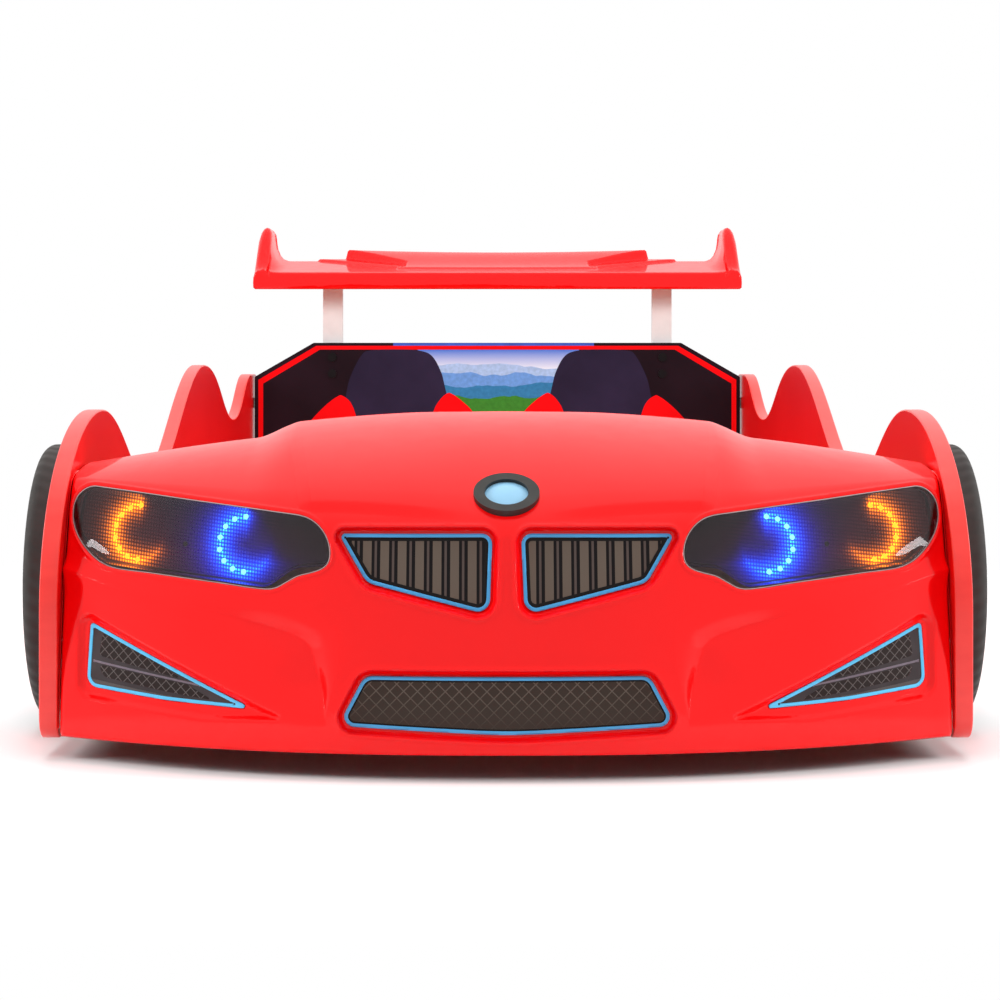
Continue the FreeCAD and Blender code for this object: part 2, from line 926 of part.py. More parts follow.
def wheel_screw_places(side, place):
    centre = wheel_centre(side, place)
    seats = []
    for index in range(wheel_screw_count):
        angle = 2 * math.pi * index / wheel_screw_count + math.pi / 2
        offset = V(0, math.cos(angle), math.sin(angle)) * wheel_screw_circle
        seats.append(centre + X * (side * wheel_screw_grip) + offset)
    return seats


def wheel_rim(side, place):
    """Back plate, outer ring, five spokes and a hub whose recess takes the screws and the cap."""
    centre = wheel_centre(side, place)
    out = X * side
    depth = wheel_width - rim_inset
    hub_floor = wheel_screw_grip
    ring = rod(centre, out, depth, rim_radius).cut(rod(centre, out, depth, rim_radius - rim_lip))
    back = rod(centre, out, rim_back_thickness, rim_radius - rim_lip / 2)
    rim = ring.fuse(back)
    spoke_root = centre + out * (depth - rim_inset - spoke_thickness)
    for index in range(spoke_count):
        spoke = box((0, spoke_thickness), (-spoke_width / 2, spoke_width / 2),
                    (0, rim_radius - rim_lip / 2))
        if side < 0:
            spoke.translate(V(-spoke_thickness, 0, 0))
        spoke.rotate(V(0, 0, 0), X, 360.0 * index / spoke_count)
        spoke.translate(spoke_root)
        rim = rim.fuse(spoke)
    rim = rim.fuse(rod(centre, out, depth - rim_inset, hub_radius))
    well = rod(centre + out * hub_floor, out, depth, hub_cap_radius - hub_cap_thickness / 2)
    cap_seat = rod(centre + out * (depth - rim_inset - hub_recess), out, depth,
                   hub_cap_radius + rim_gap)
    rim = rim.cut(well).cut(cap_seat)
    for seat in wheel_screw_places(side, place):
        rim = rim.cut(rod(seat - out * wheel_width, out, 2 * wheel_width,
                          screw_radius + screw_clearance))
    return rim.removeSplitter()


def hub_cap(side, place):
    centre = wheel_centre(side, place)
    out = X * side
    root = centre + out * (wheel_width - 2 * rim_inset - hub_recess)
    disc = rod(root, out, hub_cap_thickness, hub_cap_radius)
    rim_edge = [edge for edge in disc.Edges
                if isinstance(edge.Curve, Part.Circle)
                and (edge.Curve.Center - root).Length > hub_cap_thickness / 2]
    return disc.makeFillet(hub_cap_thickness / 3, rim_edge)


# ================================================================ light control box

def control_box_base():
    """Tray behind the bulkhead's front face; its spigot reaches back through the window."""
    half = box_width / 2
    tall = box_tall / 2
    front = bulkhead_front - box_depth
    low_x = box_place - half
    high_x = box_place + half
    low_z = box_height_mid - tall
    high_z = box_height_mid + tall
    tray = box((low_x, high_x), (front, bulkhead_front), (low_z, high_z))
    hollow = box((low_x + box_wall, high_x - box_wall), (front - 1, bulkhead_front - box_wall),
                 (low_z + box_wall, high_z - box_wall))
    spigot = box((box_place - spigot_width / 2, box_place + spigot_width / 2),
                 (bulkhead_front - box_wall, bulkhead_rear + spigot_proud),
                 (box_height_mid - spigot_tall / 2, box_height_mid + spigot_tall / 2))
    slot_half = rocker_width / 2 + rocker_side_gap
    slot_reach = rocker_reach() + rocker_end_gap
    slot = box((box_place - slot_half, box_place + slot_half), (front, bulkhead_rear + FAR),
               (box_height_mid - slot_reach, box_height_mid + slot_reach))
    pivot = rocker_pivot()
    bearing_half = rocker_width / 2 + trunnion_length + trunnion_clearance
    bearing = rod(pivot - X * bearing_half, X, 2 * bearing_half,
                  trunnion_radius + trunnion_clearance)
    inlet = inlet_centre()
    inlet_hole = rod(inlet, Z, box_tall / 2, inlet_radius + inlet_gap)
    base = tray.cut(hollow).fuse(spigot).cut(slot).cut(bearing).cut(inlet_hole)
    for side in (-1, 1):
        start = V(box_place + side * (half - 2 * box_wall), cable_line_y(), cable_line_z())
        base = base.cut(rod(start, X * side, 4 * box_wall, cable_radius + cable_gap))
    return base.removeSplitter()


def control_box_lid():
    front = bulkhead_front - box_depth
    plate = box((box_place - box_width / 2, box_place + box_width / 2),
                (front - lid_thickness, front),
                (box_height_mid - box_tall / 2, box_height_mid + box_tall / 2))
    plug_half = box_width / 2 - box_wall - glue_gap
    plug_tall = box_tall / 2 - box_wall - glue_gap
    plug = box((box_place - plug_half, box_place + plug_half), (front, front + lid_thickness),
               (box_height_mid - plug_tall, box_height_mid + plug_tall))
    return plate.fuse(plug).removeSplitter()


def rocker_pivot():
    return V(box_place, bulkhead_rear + spigot_proud - rocker_pivot_depth, box_height_mid)


def rocker_reach():
    return math.hypot(rocker_proud, rocker_tall / 2)


def rocker_switch():
    """Rocker on two trunnions, resting with one half pressed in."""
    pivot = rocker_pivot()
    half = rocker_tall / 2
    low = pivot.x - rocker_width / 2
    section = [
        (pivot.y + rocker_proud, pivot.z - half, 1), (pivot.y + rocker_proud - rocker_dish, pivot.z, 30),
        (pivot.y + rocker_proud, pivot.z + half, 1), (pivot.y, pivot.z + half, 1),
        (pivot.y - rocker_back, pivot.z + half / 3, 1), (pivot.y - rocker_back, pivot.z - half / 3, 1),
        (pivot.y, pivot.z - half, 1),
    ]
    body = prism_x(section, low, low + rocker_width)
    pin_half = rocker_width / 2 + trunnion_length
    rocker = body.fuse(rod(pivot - X * pin_half, X, 2 * pin_half, trunnion_radius))
    rocker.rotate(pivot, X, -rocker_tilt)
    return rocker


def inlet_centre():
    return V(box_place + inlet_offset, bulkhead_front - box_depth / 2,
             box_height_mid - box_tall / 2 - inlet_flange)


def dc_inlet():
    """Round low-voltage socket in the box's underside, with its centre pin; it faces down."""
    mouth = inlet_centre()
    body = rod(mouth, Z, inlet_length, inlet_radius)
    flange = rod(mouth, Z, inlet_flange, inlet_radius + inlet_flange)
    bore_depth = inlet_length - 2 * inlet_flange
    bore = rod(mouth, Z, bore_depth, inlet_bore)
    pin = rod(mouth + Z * inlet_flange, Z, bore_depth, inlet_pin)
    return body.fuse(flange).cut(bore).fuse(pin)


# ================================================================ leads and clips

def cable_line_y():
    return bulkhead_front - cable_clear


def cable_line_z():
    return box_height_mid - box_tall / 2 + 3 * box_wall + cable_radius


def tube(points, radius):
    """Straight runs joined by arcs of one radius, swept with a circle."""
    path = rounded_path(points, [cable_bend] * len(points), False)
    ring = Part.Circle(points[0], points[1] - points[0], radius).toShape()
    return path.makePipeShell([Part.Wire(ring)], True, False)


def lamp_lead(side):
    end = cable_end()
    end.x *= -side
    y = cable_line_y()
    z = cable_line_z()
    start = V(box_place + side * (box_width / 2 - 2 * box_wall), y, z)
    corner = V(end.x - side * lead_sweep, y, z)
    ahead = V(end.x, y - lead_drop_ahead, end.z)
    return tube([start, corner, ahead, end], cable_radius)


def cable_clip(x):
    y = cable_line_y()
    z = cable_line_z()
    reach = cable_radius + cable_gap + clip_wall
    block = box((x - clip_width / 2, x + clip_width / 2), (y - reach, bulkhead_front),
                (z - reach, z + reach))
    bore = rod(V(x - clip_width, y, z), X, 2 * clip_width, cable_radius + cable_gap)
    return block.cut(bore)


# ================================================================ build every node

def build():
    add_pair("headlight_housing", lamp_housing())
    add_pair("headlight_lens", lens())
    amber_x = -shell_half + amber_inset
    blue_x = -shell_half + blue_inset
    add_pair("led_strip_amber", led_strip(amber_x, amber_height))
    add_pair("led_strip_blue", led_strip(blue_x, blue_height))
    amber = leds(amber_x, amber_height)
    blue = leds(blue_x, blue_height)
    add("leds_amber", Part.makeCompound(amber + [mirrored(led) for led in amber]))
    add("leds_blue", Part.makeCompound(blue + [mirrored(led) for led in blue]))
    add_pair("grille_inlay_upper", inlay(upper_grille_outline))
    add("grille_inlay_lower", inlay(lower_grille_outline))
    add_pair("intake_inlay", inlay(side_intake_outline))
    ring, disc = badge_parts()
    add("badge_ring", ring)
    add("badge_disc", disc)

    add("rear_wing", rear_wing())
    add_pair("wing_post", wing_post())
    add("wing_bolts", Part.makeCompound(wing_bolts()))

    brackets = corner_brackets()
    note_slat_screws()
    for seat, direction in flange_screws():
        wood_screws.append((seat, direction))
        wood_screws.append((V(-seat.x, seat.y, seat.z), direction * -1))
    add("corner_brackets", Part.makeCompound(brackets))
    add("wood_screws", Part.makeCompound([screw(s, d, wood_screw_length) for s, d in wood_screws]))
    add("slat_screws", Part.makeCompound([screw(s, d, slat_screw_length) for s, d in slat_screws]))

    wheel_spots = {
        "front_left": (-1, front_wheel_place), "front_right": (1, front_wheel_place),
        "rear_left": (-1, rear_wheel_place), "rear_right": (1, rear_wheel_place),
    }
    wheel_screws = []
    caps = []
    for name, (side, place) in wheel_spots.items():
        add("tyre_" + name, tyre(side, place))
        add("wheel_rim_" + name, wheel_rim(side, place))
        caps.append(hub_cap(side, place))
        wheel_screws += [(seat, X * -side) for seat in wheel_screw_places(side, place)]
    wheel_screw_length = wheel_screw_grip + wood_screw_length
    add("hub_caps", Part.makeCompound(caps))
    add("wheel_screws",
        Part.makeCompound([screw(s, d, wheel_screw_length) for s, d in wheel_screws]))

    left_panel = drill(drill(drill(side_panel(), wood_screws, wood_screw_length),
                             slat_screws, slat_screw_length), wheel_screws, wheel_screw_length)
    right_panel = drill(drill(drill(mirrored(side_panel()), wood_screws, wood_screw_length),
                              slat_screws, slat_screw_length), wheel_screws, wheel_screw_length)
    add("side_panel_left", left_panel)
    add("side_panel_right", right_panel)
    add("front_shell", drill(front_shell(), wood_screws, wood_screw_length))
    add("front_bulkhead", drill(bulkhead(), wood_screws, wood_screw_length))
    add("headboard", drill(headboard(), wood_screws, wood_screw_length))
    add("centre_beam", drill(centre_beam(), wood_screws, wood_screw_length))
    add("support_legs", Part.makeCompound(
        [drill(leg, wood_screws, wood_screw_length) for leg in support_legs()]))
    add("mattress_rail_left", drill(side_rail(), slat_screws, slat_screw_length))
    add("mattress_rail_right", drill(mirrored(side_rail()), slat_screws, slat_screw_length))
    for index, place in enumerate(slat_places()):
        add("slat_%02d" % (index + 1), drill(slat(place), slat_screws, slat_screw_length))
    add("floor_feet", Part.makeCompound(floor_feet()))

    add("control_box_base", control_box_base())
    add("control_box_lid", control_box_lid())
    add("rocker_switch", rocker_switch())
    add("dc_inlet", dc_inlet())
    add("lamp_leads", Part.makeCompound([lamp_lead(-1), lamp_lead(1)]))
    add("cable_clips", Part.makeCompound([cable_clip(x) for x in clip_places]))


build()
nose = min(shell_section(0, 0.5 + 0.5 * step / 200)[0] for step in range(201))
middle = (nose + wing_rear) / 2
os.makedirs("parts", exist_ok=True)
for name, shape in nodes.items():
    shape.translate(V(0, -middle, 0))
    shape.exportStep("parts/%s.step" % name)
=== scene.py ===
import math

import bmesh
import bpy
import numpy as np
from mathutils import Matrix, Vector

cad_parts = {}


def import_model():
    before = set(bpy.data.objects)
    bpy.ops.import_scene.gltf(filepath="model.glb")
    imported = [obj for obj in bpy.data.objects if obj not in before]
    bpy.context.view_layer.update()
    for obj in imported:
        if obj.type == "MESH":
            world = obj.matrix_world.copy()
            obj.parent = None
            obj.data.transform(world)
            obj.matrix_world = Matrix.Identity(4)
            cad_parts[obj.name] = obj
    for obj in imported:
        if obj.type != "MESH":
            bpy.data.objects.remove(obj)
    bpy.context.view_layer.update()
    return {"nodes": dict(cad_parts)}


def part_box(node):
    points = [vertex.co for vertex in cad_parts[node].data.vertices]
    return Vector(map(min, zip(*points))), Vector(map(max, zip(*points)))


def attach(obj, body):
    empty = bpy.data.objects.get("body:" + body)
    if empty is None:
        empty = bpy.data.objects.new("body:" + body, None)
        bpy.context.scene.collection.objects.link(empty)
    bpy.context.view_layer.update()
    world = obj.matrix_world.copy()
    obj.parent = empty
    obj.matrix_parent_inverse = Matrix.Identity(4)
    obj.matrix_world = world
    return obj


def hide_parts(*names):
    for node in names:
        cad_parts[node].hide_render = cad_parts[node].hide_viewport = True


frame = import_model()

# The looks of a child's bed in the shape of a low sports car.
# Build frame of this script: millimetres, x across, y back from the side panels' front edge, z up.
# put() turns it into the frame's metres. "left" is the side of negative x.

MM = 0.001
BED = "bed"
ORIGIN_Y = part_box("side_panel_left")[0].y / MM

# ---------------------------------------------------------------- sizes shared with the construction
INNER_HALF = 460.0
PANEL_THICKNESS = 19.0
SHELL_HALF = 458.0
SHELL_BOTTOM = 24.0
HOOD_REAR = 170.0
HOOD_PEAK = 355.0
HOOD_SIDE = 298.0
DOME_HALF = 222.0
DOME_SAG = 12.0
DOME_STEP = 13.0
DOME_STEP_WIDTH = 50.0
HEADBOARD_FRONT = 2080.0
WING_FRONT = 2030.0
WING_DEPTH = 175.0
WING_BOTTOM = 551.0
WHEEL_RADIUS = 157.0
WHEEL_MIDDLES = [sum(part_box("tyre_%s_left" % place)[side].y for side in (0, 1)) / 2
                 for place in ("front", "rear")]

# Outlines in the front view, as (x, z, corner radius); the left-hand ones are mirrored.
LENS = [
    (-441, 277), (-449, 269), (-453, 257), (-452, 243), (-447, 230), (-438, 217), (-426, 206),
    (-413, 199), (-396, 195), (-361, 192.5), (-322, 189), (-283, 185.5), (-255, 182.5), (-237, 181.5),
    (-227, 183.5), (-217, 189), (-206, 195), (-193, 198.5), (-182, 202.5), (-175, 209), (-173, 220),
    (-176, 233), (-183, 244), (-193, 252), (-206, 256.5), (-232, 259.5), (-269, 263.5), (-328, 269.5),
    (-379, 275), (-419, 279), (-432, 280),
]
UPPER_GRILLE = [(-167, 238, 4), (-14, 239, 10), (-17, 161, 12), (-138, 191, 18)]
LOWER_GRILLE = [(-139, 102, 14), (139, 102, 14), (165, 53, 10), (0, 45, 600), (-165, 53, 10)]
SIDE_INTAKE = [
    (-SHELL_HALF + 32, 142, 3), (-249, 66, 2), (-340, 70, 200), (-SHELL_HALF + 30, 78, 12),
]
INTAKE_RECESS = [(-441, 160, 14), (-203, 55, 5), (-300, 52, 60), (-439, 65, 20)]
POD_EDGE = [(178, 58), (181, 79), (186, 96), (191, 114), (196, 130), (203, 137.5), (215, 143), (242, 150),
            (270, 155.5), (298, 160), (345, 166)]
NOSE_EDGE = [(176, 58), (173, 74), (169, 91), (165.5, 109), (163.5, 125), (165.5, 142), (172, 155),
             (187, 167), (206, 176), (240, 184)]
LENS_SEAT = 1.2
BADGE_HEIGHT = 275.5
BADGE_SEAT = (29.0, 15.4)
LENS_GAP = 0.4


# ================================================================ numbers and curves

def smooth(value):
    """0 below 0, 1 above 1 and level at both ends."""
    value = np.clip(value, 0.0, 1.0)
    return value * value * (3 - 2 * value)


def rounded(corners, arc_steps=7):
    """Points round a closed outline of (x, z, radius) corners."""
    points = np.array([corner[:2] for corner in corners], float)
    found = []
    for index, (x, z, radius) in enumerate(corners):
        here = points[index]
        back = points[index - 1] - here
        ahead = points[(index + 1) % len(points)] - here
        back /= np.linalg.norm(back)
        ahead /= np.linalg.norm(ahead)
        half = math.acos(float(np.clip(back @ ahead, -1, 1))) / 2
        bisector = (back + ahead) / np.linalg.norm(back + ahead)
        centre = here + bisector * (radius / math.sin(half))
        start = here + back * (radius / math.tan(half)) - centre
        end = here + ahead * (radius / math.tan(half)) - centre
        for step in range(arc_steps + 1):
            share = step / arc_steps
            spoke = start * (1 - share) + end * share
            found.append(centre + spoke * (radius / np.linalg.norm(spoke)))
    return np.array(found)


def curve_points(poles, steps=8):
    """Points of a smooth closed curve through (x, z) poles."""
    poles = np.array(poles, float)
    found = []
    for index in range(len(poles)):
        p0, p1, p2, p3 = (poles[(index + k) % len(poles)] for k in (-1, 0, 1, 2))
        for t in np.linspace(0, 1, steps, endpoint=False):
            found.append(0.5 * (2 * p1 + (p2 - p0) * t + (2 * p0 - 5 * p1 + 4 * p2 - p3) * t ** 2
                                + (3 * p1 - p0 - 3 * p2 + p3) * t ** 3))
    return np.array(found)


def distance_along(line, x, z):
    """Distance to an open line of points."""
    nearest = np.full(x.shape, 1e9)
    for (x0, z0), (x1, z1) in zip(line, line[1:]):
        dx, dz = x1 - x0, z1 - z0
        share = np.clip(((x - x0) * dx + (z - z0) * dz) / (dx * dx + dz * dz), 0, 1)
        nearest = np.minimum(nearest, np.hypot(x - x0 - share * dx, z - z0 - share * dz))
    return nearest


def distance_inside(outline, x, z):
    """Distance to a closed outline, positive inside it and negative outside."""
    nearest = np.full(x.shape, 1e9)
    inside = np.zeros(x.shape, bool)
    for (x0, z0), (x1, z1) in zip(outline, np.roll(outline, -1, axis=0)):
        dx, dz = x1 - x0, z1 - z0
        share = np.clip(((x - x0) * dx + (z - z0) * dz) / (dx * dx + dz * dz + 1e-12), 0, 1)
        nearest = np.minimum(nearest, np.hypot(x - x0 - share * dx, z - z0 - share * dz))
        crosses = (z0 > z) != (z1 > z)
        inside ^= crosses & (x < x0 + (z - z0) * dx / (dz + 1e-12 * (dz == 0)))
    return np.where(inside, nearest, -nearest)


def two_sided(corners):
    """The distance field of a left-hand outline and its mirror image."""
    outline = rounded(corners) if len(corners[0]) == 3 else curve_points(corners, 4)
    return lambda x, z: distance_inside(outline, -np.abs(x), z)


def one_sided(corners):
    outline = rounded(corners)
    return lambda x, z: distance_inside(outline, x, z)


lens_depth = two_sided(LENS)
upper_depth = two_sided(UPPER_GRILLE)
lower_depth = one_sided(LOWER_GRILLE)
intake_depth = two_sided(SIDE_INTAKE)
intake_recess_depth = two_sided(INTAKE_RECESS)


# ================================================================ the shell's outside

def ramp(side):
    def soft(distance):
        return 0.5 * (distance - 165.0 + np.hypot(distance - 165.0, 90.0))
    return (soft(side) - soft(0.0)) / (soft(SHELL_HALF) - soft(0.0))


def hood_rear_height(side):
    inner = HOOD_PEAK - DOME_SAG * (side / DOME_HALF) ** 2
    beyond = np.maximum(side - DOME_HALF, 0.0)
    share = beyond / (SHELL_HALF - DOME_HALF)
    outer = (HOOD_PEAK - DOME_SAG - DOME_STEP * smooth(beyond / DOME_STEP_WIDTH)
             - (HOOD_PEAK - DOME_SAG - DOME_STEP - HOOD_SIDE) * share ** 1.3)
    return np.where(side <= DOME_HALF, inner, outer)


def section(x, v):
    """(y, z) on the shell's outside; v runs from the bonnet's rear edge (0) to the hem (1)."""
    side = np.minimum(np.abs(x), SHELL_HALF)
    edge = side / SHELL_HALF
    sweep = ramp(side)
    rear = (HOOD_REAR + 0 * side, hood_rear_height(side))
    brow = (-102.0 + 176.0 * sweep, 252.0 + 32.0 * sweep)
    crown = (brow[0] + 0.43 * (rear[0] - brow[0]), brow[1] + 0.82 * (rear[1] - brow[1]))
    hem = (-135.0 * (1 - edge ** 2.35), SHELL_BOTTOM + 0 * side)
    cheek = (brow[0] + 0.62 * (hem[0] - brow[0]), brow[1] - 0.30 * (brow[1] - hem[1]))
    chin = (hem[0] - 22.0 * (1 - edge * edge), hem[1] + 0.28 * (brow[1] - hem[1]))

    def hood(t, axis):
        return (1 - t) ** 2 * rear[axis] + 2 * t * (1 - t) * crown[axis] + t * t * brow[axis]

    def fascia(t, axis):
        return ((1 - t) ** 3 * brow[axis] + 3 * t * (1 - t) ** 2 * cheek[axis]
                + 3 * t * t * (1 - t) * chin[axis] + t ** 3 * hem[axis])
    found = []
    for axis in (0, 1):
        t = (v - 0.42) / 0.08
        corner = ((1 - t) ** 2 * hood(0.86, axis) + 2 * t * (1 - t) * brow[axis]
                  + t * t * fascia(0.08, axis))
        found.append(np.where(v < 0.42, hood(0.86 * v / 0.42, axis), np.where(
            v < 0.5, corner, fascia(0.08 + 0.92 * (v - 0.5) / 0.5, axis))))
    return found


def shell_y(x, z):
    """y of the shell's outside at points of the front view."""
    low = np.zeros(x.shape)
    high = np.ones(x.shape)
    for _ in range(28):
        middle = (low + high) / 2
        above = section(x, middle)[1] > z
        low = np.where(above, middle, low)
        high = np.where(above, high, middle)
    return section(x, low)[0]


def valley_edges(z):
    """|x| of the two edges of the hollow between a corner pod and the middle of the bumper."""
    outer = np.interp(z, [point[1] for point in POD_EDGE], [point[0] for point in POD_EDGE])
    inner = np.interp(z, [point[1] for point in NOSE_EDGE], [point[0] for point in NOSE_EDGE])
    return outer, inner


def valley(x, z):
    """Depth of that hollow: deepest at a crease along the pod, it climbs steeply to the middle."""
    side = np.abs(x)
    outer, inner = valley_edges(z)
    share = np.clip((side - inner) / np.maximum(outer - inner, 1.0), 0, 1)
    climb = share * (0.45 + 0.55 * smooth(share))
    away = np.where(side > outer, distance_along(POD_EDGE, side, z), 0.0)
    plateau = np.exp(-(away / 62.0))
    reach = smooth((z - 50) / 50) * smooth((182 - z) / 24) * smooth((330 - side) / 130)
    return 13.0 * climb * plateau * reach


def pod_ridge(x, z):
    """The ridge that runs from the outer corner under the lamp down to the pod's middle."""
    along = (456 - np.abs(x)) / 230
    crest = 193 - 62 * along - 10 * along ** 2
    away = z - crest
    width = 8 + 24 * np.clip(along, 0, 1)
    height = 5.0 * smooth(1.3 - along)
    return height * np.where(away > 0, np.exp(-np.abs(away / width) ** 1.4),
                             np.exp(-np.abs(away / (width * 1.7)) ** 1.4)) * (along > -0.2)


def dome_line(z):
    """|x| of the crease beside the bonnet's raised middle."""
    return np.interp(z, [255, 262, 298, 345], [180, 194, 204, 222])


DOME_FALL = 14.0


def hood_creases(x, z):
    """Raises the bonnet's middle with a crisp front edge and crisp sides."""
    side = np.abs(x)
    front = 254 + 5 * smooth((side - 40) / 130)
    behind = np.clip((z - front) / 6, 0, 1)
    within = 1 - np.clip((side - dome_line(z)) / DOME_FALL, 0, 1)
    off_centre = smooth((side - 30) / 80)
    fade = 1 - 0.7 * smooth((z - 280) / 60)
    return 4.2 * behind * within * off_centre * fade


LIP = 7.0
POCKET = 10.0
CORNER_REACH = 1.3


def rolled(depth, lip, full):
    """Depth of a recess that rolls in from its lip: 0 outside, full at its floor."""
    share = np.clip((depth + lip) / lip, 0, 1)
    return full * smooth(share)


def walled(depth, lip, full):
    """Depth of a recess with a tight turn at its lip and a steep wall."""
    share = np.clip((depth + lip) / lip, 0, 1)
    return full * (1 - (1 - share) ** 2.2) * smooth(share * 3)


def beads(x, z):
    """Small raised lips round the lamps and the grilles in the middle."""
    lamp = np.exp(-((lens_depth(x, z) + 1.6) / 1.5) ** 2)
    grilles = np.maximum(upper_depth(x, z), lower_depth(x, z))
    return 0.9 * lamp + 1.3 * np.exp(-((grilles + LIP + 0.8) / 1.6) ** 2)


def recesses(x, z):
    """How far the pockets behind the grilles lie behind the shell's outside."""
    upper = walled(upper_depth(x, z), LIP, POCKET)
    lower = walled(lower_depth(x, z), LIP, POCKET)
    wide = rolled(intake_recess_depth(x, z) - 9, 9, POCKET - 2)
    intake = rolled(intake_depth(x, z), 4, POCKET)
    return np.maximum(np.maximum(upper, lower), np.maximum(wide, intake))


def badge_seat(x, z):
    """Depth of the flat seat that is pressed into the bonnet for the badge."""
    reach = np.hypot(x / BADGE_SEAT[0], (z - BADGE_HEIGHT) / BADGE_SEAT[1])
    return 1.8 * smooth((1 - reach) / 0.14)


def edge_roll(x, z):
    """The turn at the shell's left and right edges and at its hem."""
    radius = 5.0
    side = np.clip(np.abs(x) - (SHELL_HALF - radius), 0, radius)
    low = np.clip(SHELL_BOTTOM + radius - z, 0, radius)
    reach = np.minimum(np.hypot(side, low), radius)
    return radius - np.sqrt(np.maximum(radius * radius - reach * reach, 0))


def shell_places(x, z, behind=0.0, pockets=True):
    """Points on the detailed shell, behind mm behind its outside."""
    step = 0.6
    y = shell_y(x, z)
    slope_x = (shell_y(np.minimum(x + step, SHELL_HALF), z) - shell_y(np.maximum(x - step, -SHELL_HALF), z))
    slope_x /= np.minimum(x + step, SHELL_HALF) - np.maximum(x - step, -SHELL_HALF)
    top = hood_rear_height(np.abs(x))
    high = np.minimum(z + step, top)
    low = np.maximum(z - step, SHELL_BOTTOM)
    slope_z = (shell_y(x, high) - shell_y(x, low)) / (high - low)
    length = np.sqrt(slope_x ** 2 + 1 + slope_z ** 2)
    push = (pod_ridge(x, z) + hood_creases(x, z) + beads(x, z)
            - valley(x, z) - badge_seat(x, z) - edge_roll(x, z))
    if not pockets:
        push = 0 * push
    back = behind + (recesses(x, z) if pockets else 0.0)
    wide = x * (1 + CORNER_REACH / SHELL_HALF * smooth((np.abs(x) - 430) / 20))
    return (wide + push * slope_x / length, y + back - push / length, z + push * slope_z / length)


# ================================================================ meshes

def put(x, y, z):
    """Build frame in millimetres to the frame's metres."""
    return Vector((x * MM, (y + ORIGIN_Y) * MM, z * MM))


def place_arrays(x, y, z):
    return np.stack([x, y + ORIGIN_Y, z], axis=-1) * MM


def from_bmesh(name, bm, finish, shade=True):
    mesh = bpy.data.meshes.new(name)
    bm.to_mesh(mesh)
    bm.free()
    mesh.shade_smooth() if shade else mesh.shade_flat()
    mesh.materials.append(finish)
    piece = bpy.data.objects.new(name, mesh)
    bpy.context.scene.collection.objects.link(piece)
    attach(piece, BED)
    return piece


def grid_mesh(name, rows, finish, closed=False, caps=False):
    """A mesh over rows of points; closed joins the last point of each row to its first."""
    bm = bmesh.new()
    made = [[bm.verts.new(point) for point in row] for row in rows]
    count = len(rows[0])
    for row, ahead in zip(made, made[1:]):
        for index in range(count if closed else count - 1):
            after = (index + 1) % count
            bm.faces.new((row[index], row[after], ahead[after], ahead[index]))
    if caps:
        bm.faces.new(list(reversed(made[0])))
        bm.faces.new(made[-1])
    bmesh.ops.recalc_face_normals(bm, faces=bm.faces)
    return from_bmesh(name, bm, finish)


def sheet(x_span, z_of, columns, rows):
    """A flat grid in the front view; z_of(x, share) gives its heights."""
    bm = bmesh.new()
    xs = np.linspace(x_span[0], x_span[1], columns)
    shares = np.linspace(0, 1, rows)
    grid_x, grid_v = np.meshgrid(xs, shares, indexing="ij")
    grid_z = z_of(grid_x, grid_v)
    verts = [[bm.verts.new((a, 0, b)) for a, b in zip(line_x, line_z)]
             for line_x, line_z in zip(grid_x, grid_z)]
    for line, ahead in zip(verts, verts[1:]):
        for index in range(rows - 1):
            bm.faces.new((line[index], line[index + 1], ahead[index + 1], ahead[index]))
    return bm


def front_view(bm):
    flat = np.array([vert.co for vert in bm.verts], float).reshape(-1, 3)
    return flat[:, 0], flat[:, 2]


def cut_along(bm, field, level):
    """Splits the faces that a level of a field crosses, so that edges follow it."""
    x, z = front_view(bm)
    value = field(x, z) - level
    value[np.abs(value) < 0.05] = 0.0
    bm.verts.index_update()
    crossing = [edge for edge in bm.edges
                if value[edge.verts[0].index] * value[edge.verts[1].index] < 0]
    on_level = {vert for vert in bm.verts if value[vert.index] == 0.0}
    for edge in crossing:
        first, second = edge.verts
        share = value[first.index] / (value[first.index] - value[second.index])
        made = bmesh.utils.edge_split(edge, first, float(share))[1]
        on_level.add(made)
    touched = {face for vert in on_level for face in vert.link_faces}
    for face in touched:
        ends = [vert for vert in face.verts if vert in on_level]
        if len(ends) == 2 and not bm.edges.get(ends):
            bmesh.utils.face_split(face, ends[0], ends[1])


def keep_inside(bm, field, level):
    """Deletes the faces outside a level of a field."""
    centres = np.array([face.calc_center_median() for face in bm.faces], float)
    outside = field(centres[:, 0], centres[:, 2]) < level
    doomed = [face for face, gone in zip(bm.faces, outside) if gone]
    bmesh.ops.delete(bm, geom=doomed, context="FACES")


def drop_inside(bm, field, level):
    keep_inside(bm, lambda x, z: -field(x, z), -level)


def lift(bm, places):
    """Moves the flat sheet's points to where places(x, z) says."""
    x, z = front_view(bm)
    for vert, place in zip(bm.verts, place_arrays(*places(x, z))):
        vert.co = place


def thicken(piece, thickness, offset=-1.0):
    solid = piece.modifiers.new("thickness", "SOLIDIFY")
    solid.thickness = thickness * MM
    solid.offset = offset
    solid.use_even_offset = True


# ================================================================ materials

MATT_SHINE = 0.15


def material(name, colour, roughness, **sockets):
    """A Principled material; further sockets by name, with _ for a space."""
    made = bpy.data.materials.new(name)
    made.use_nodes = True
    shader = made.node_tree.nodes["Principled BSDF"]
    shader.inputs["Base Color"].default_value = (*colour, 1.0)
    shader.inputs["Roughness"].default_value = roughness
    for socket, value in sockets.items():
        shader.inputs[socket.replace("_", " ")].default_value = value
    return made


def shader_of(made):
    return made.node_tree.nodes["Principled BSDF"]


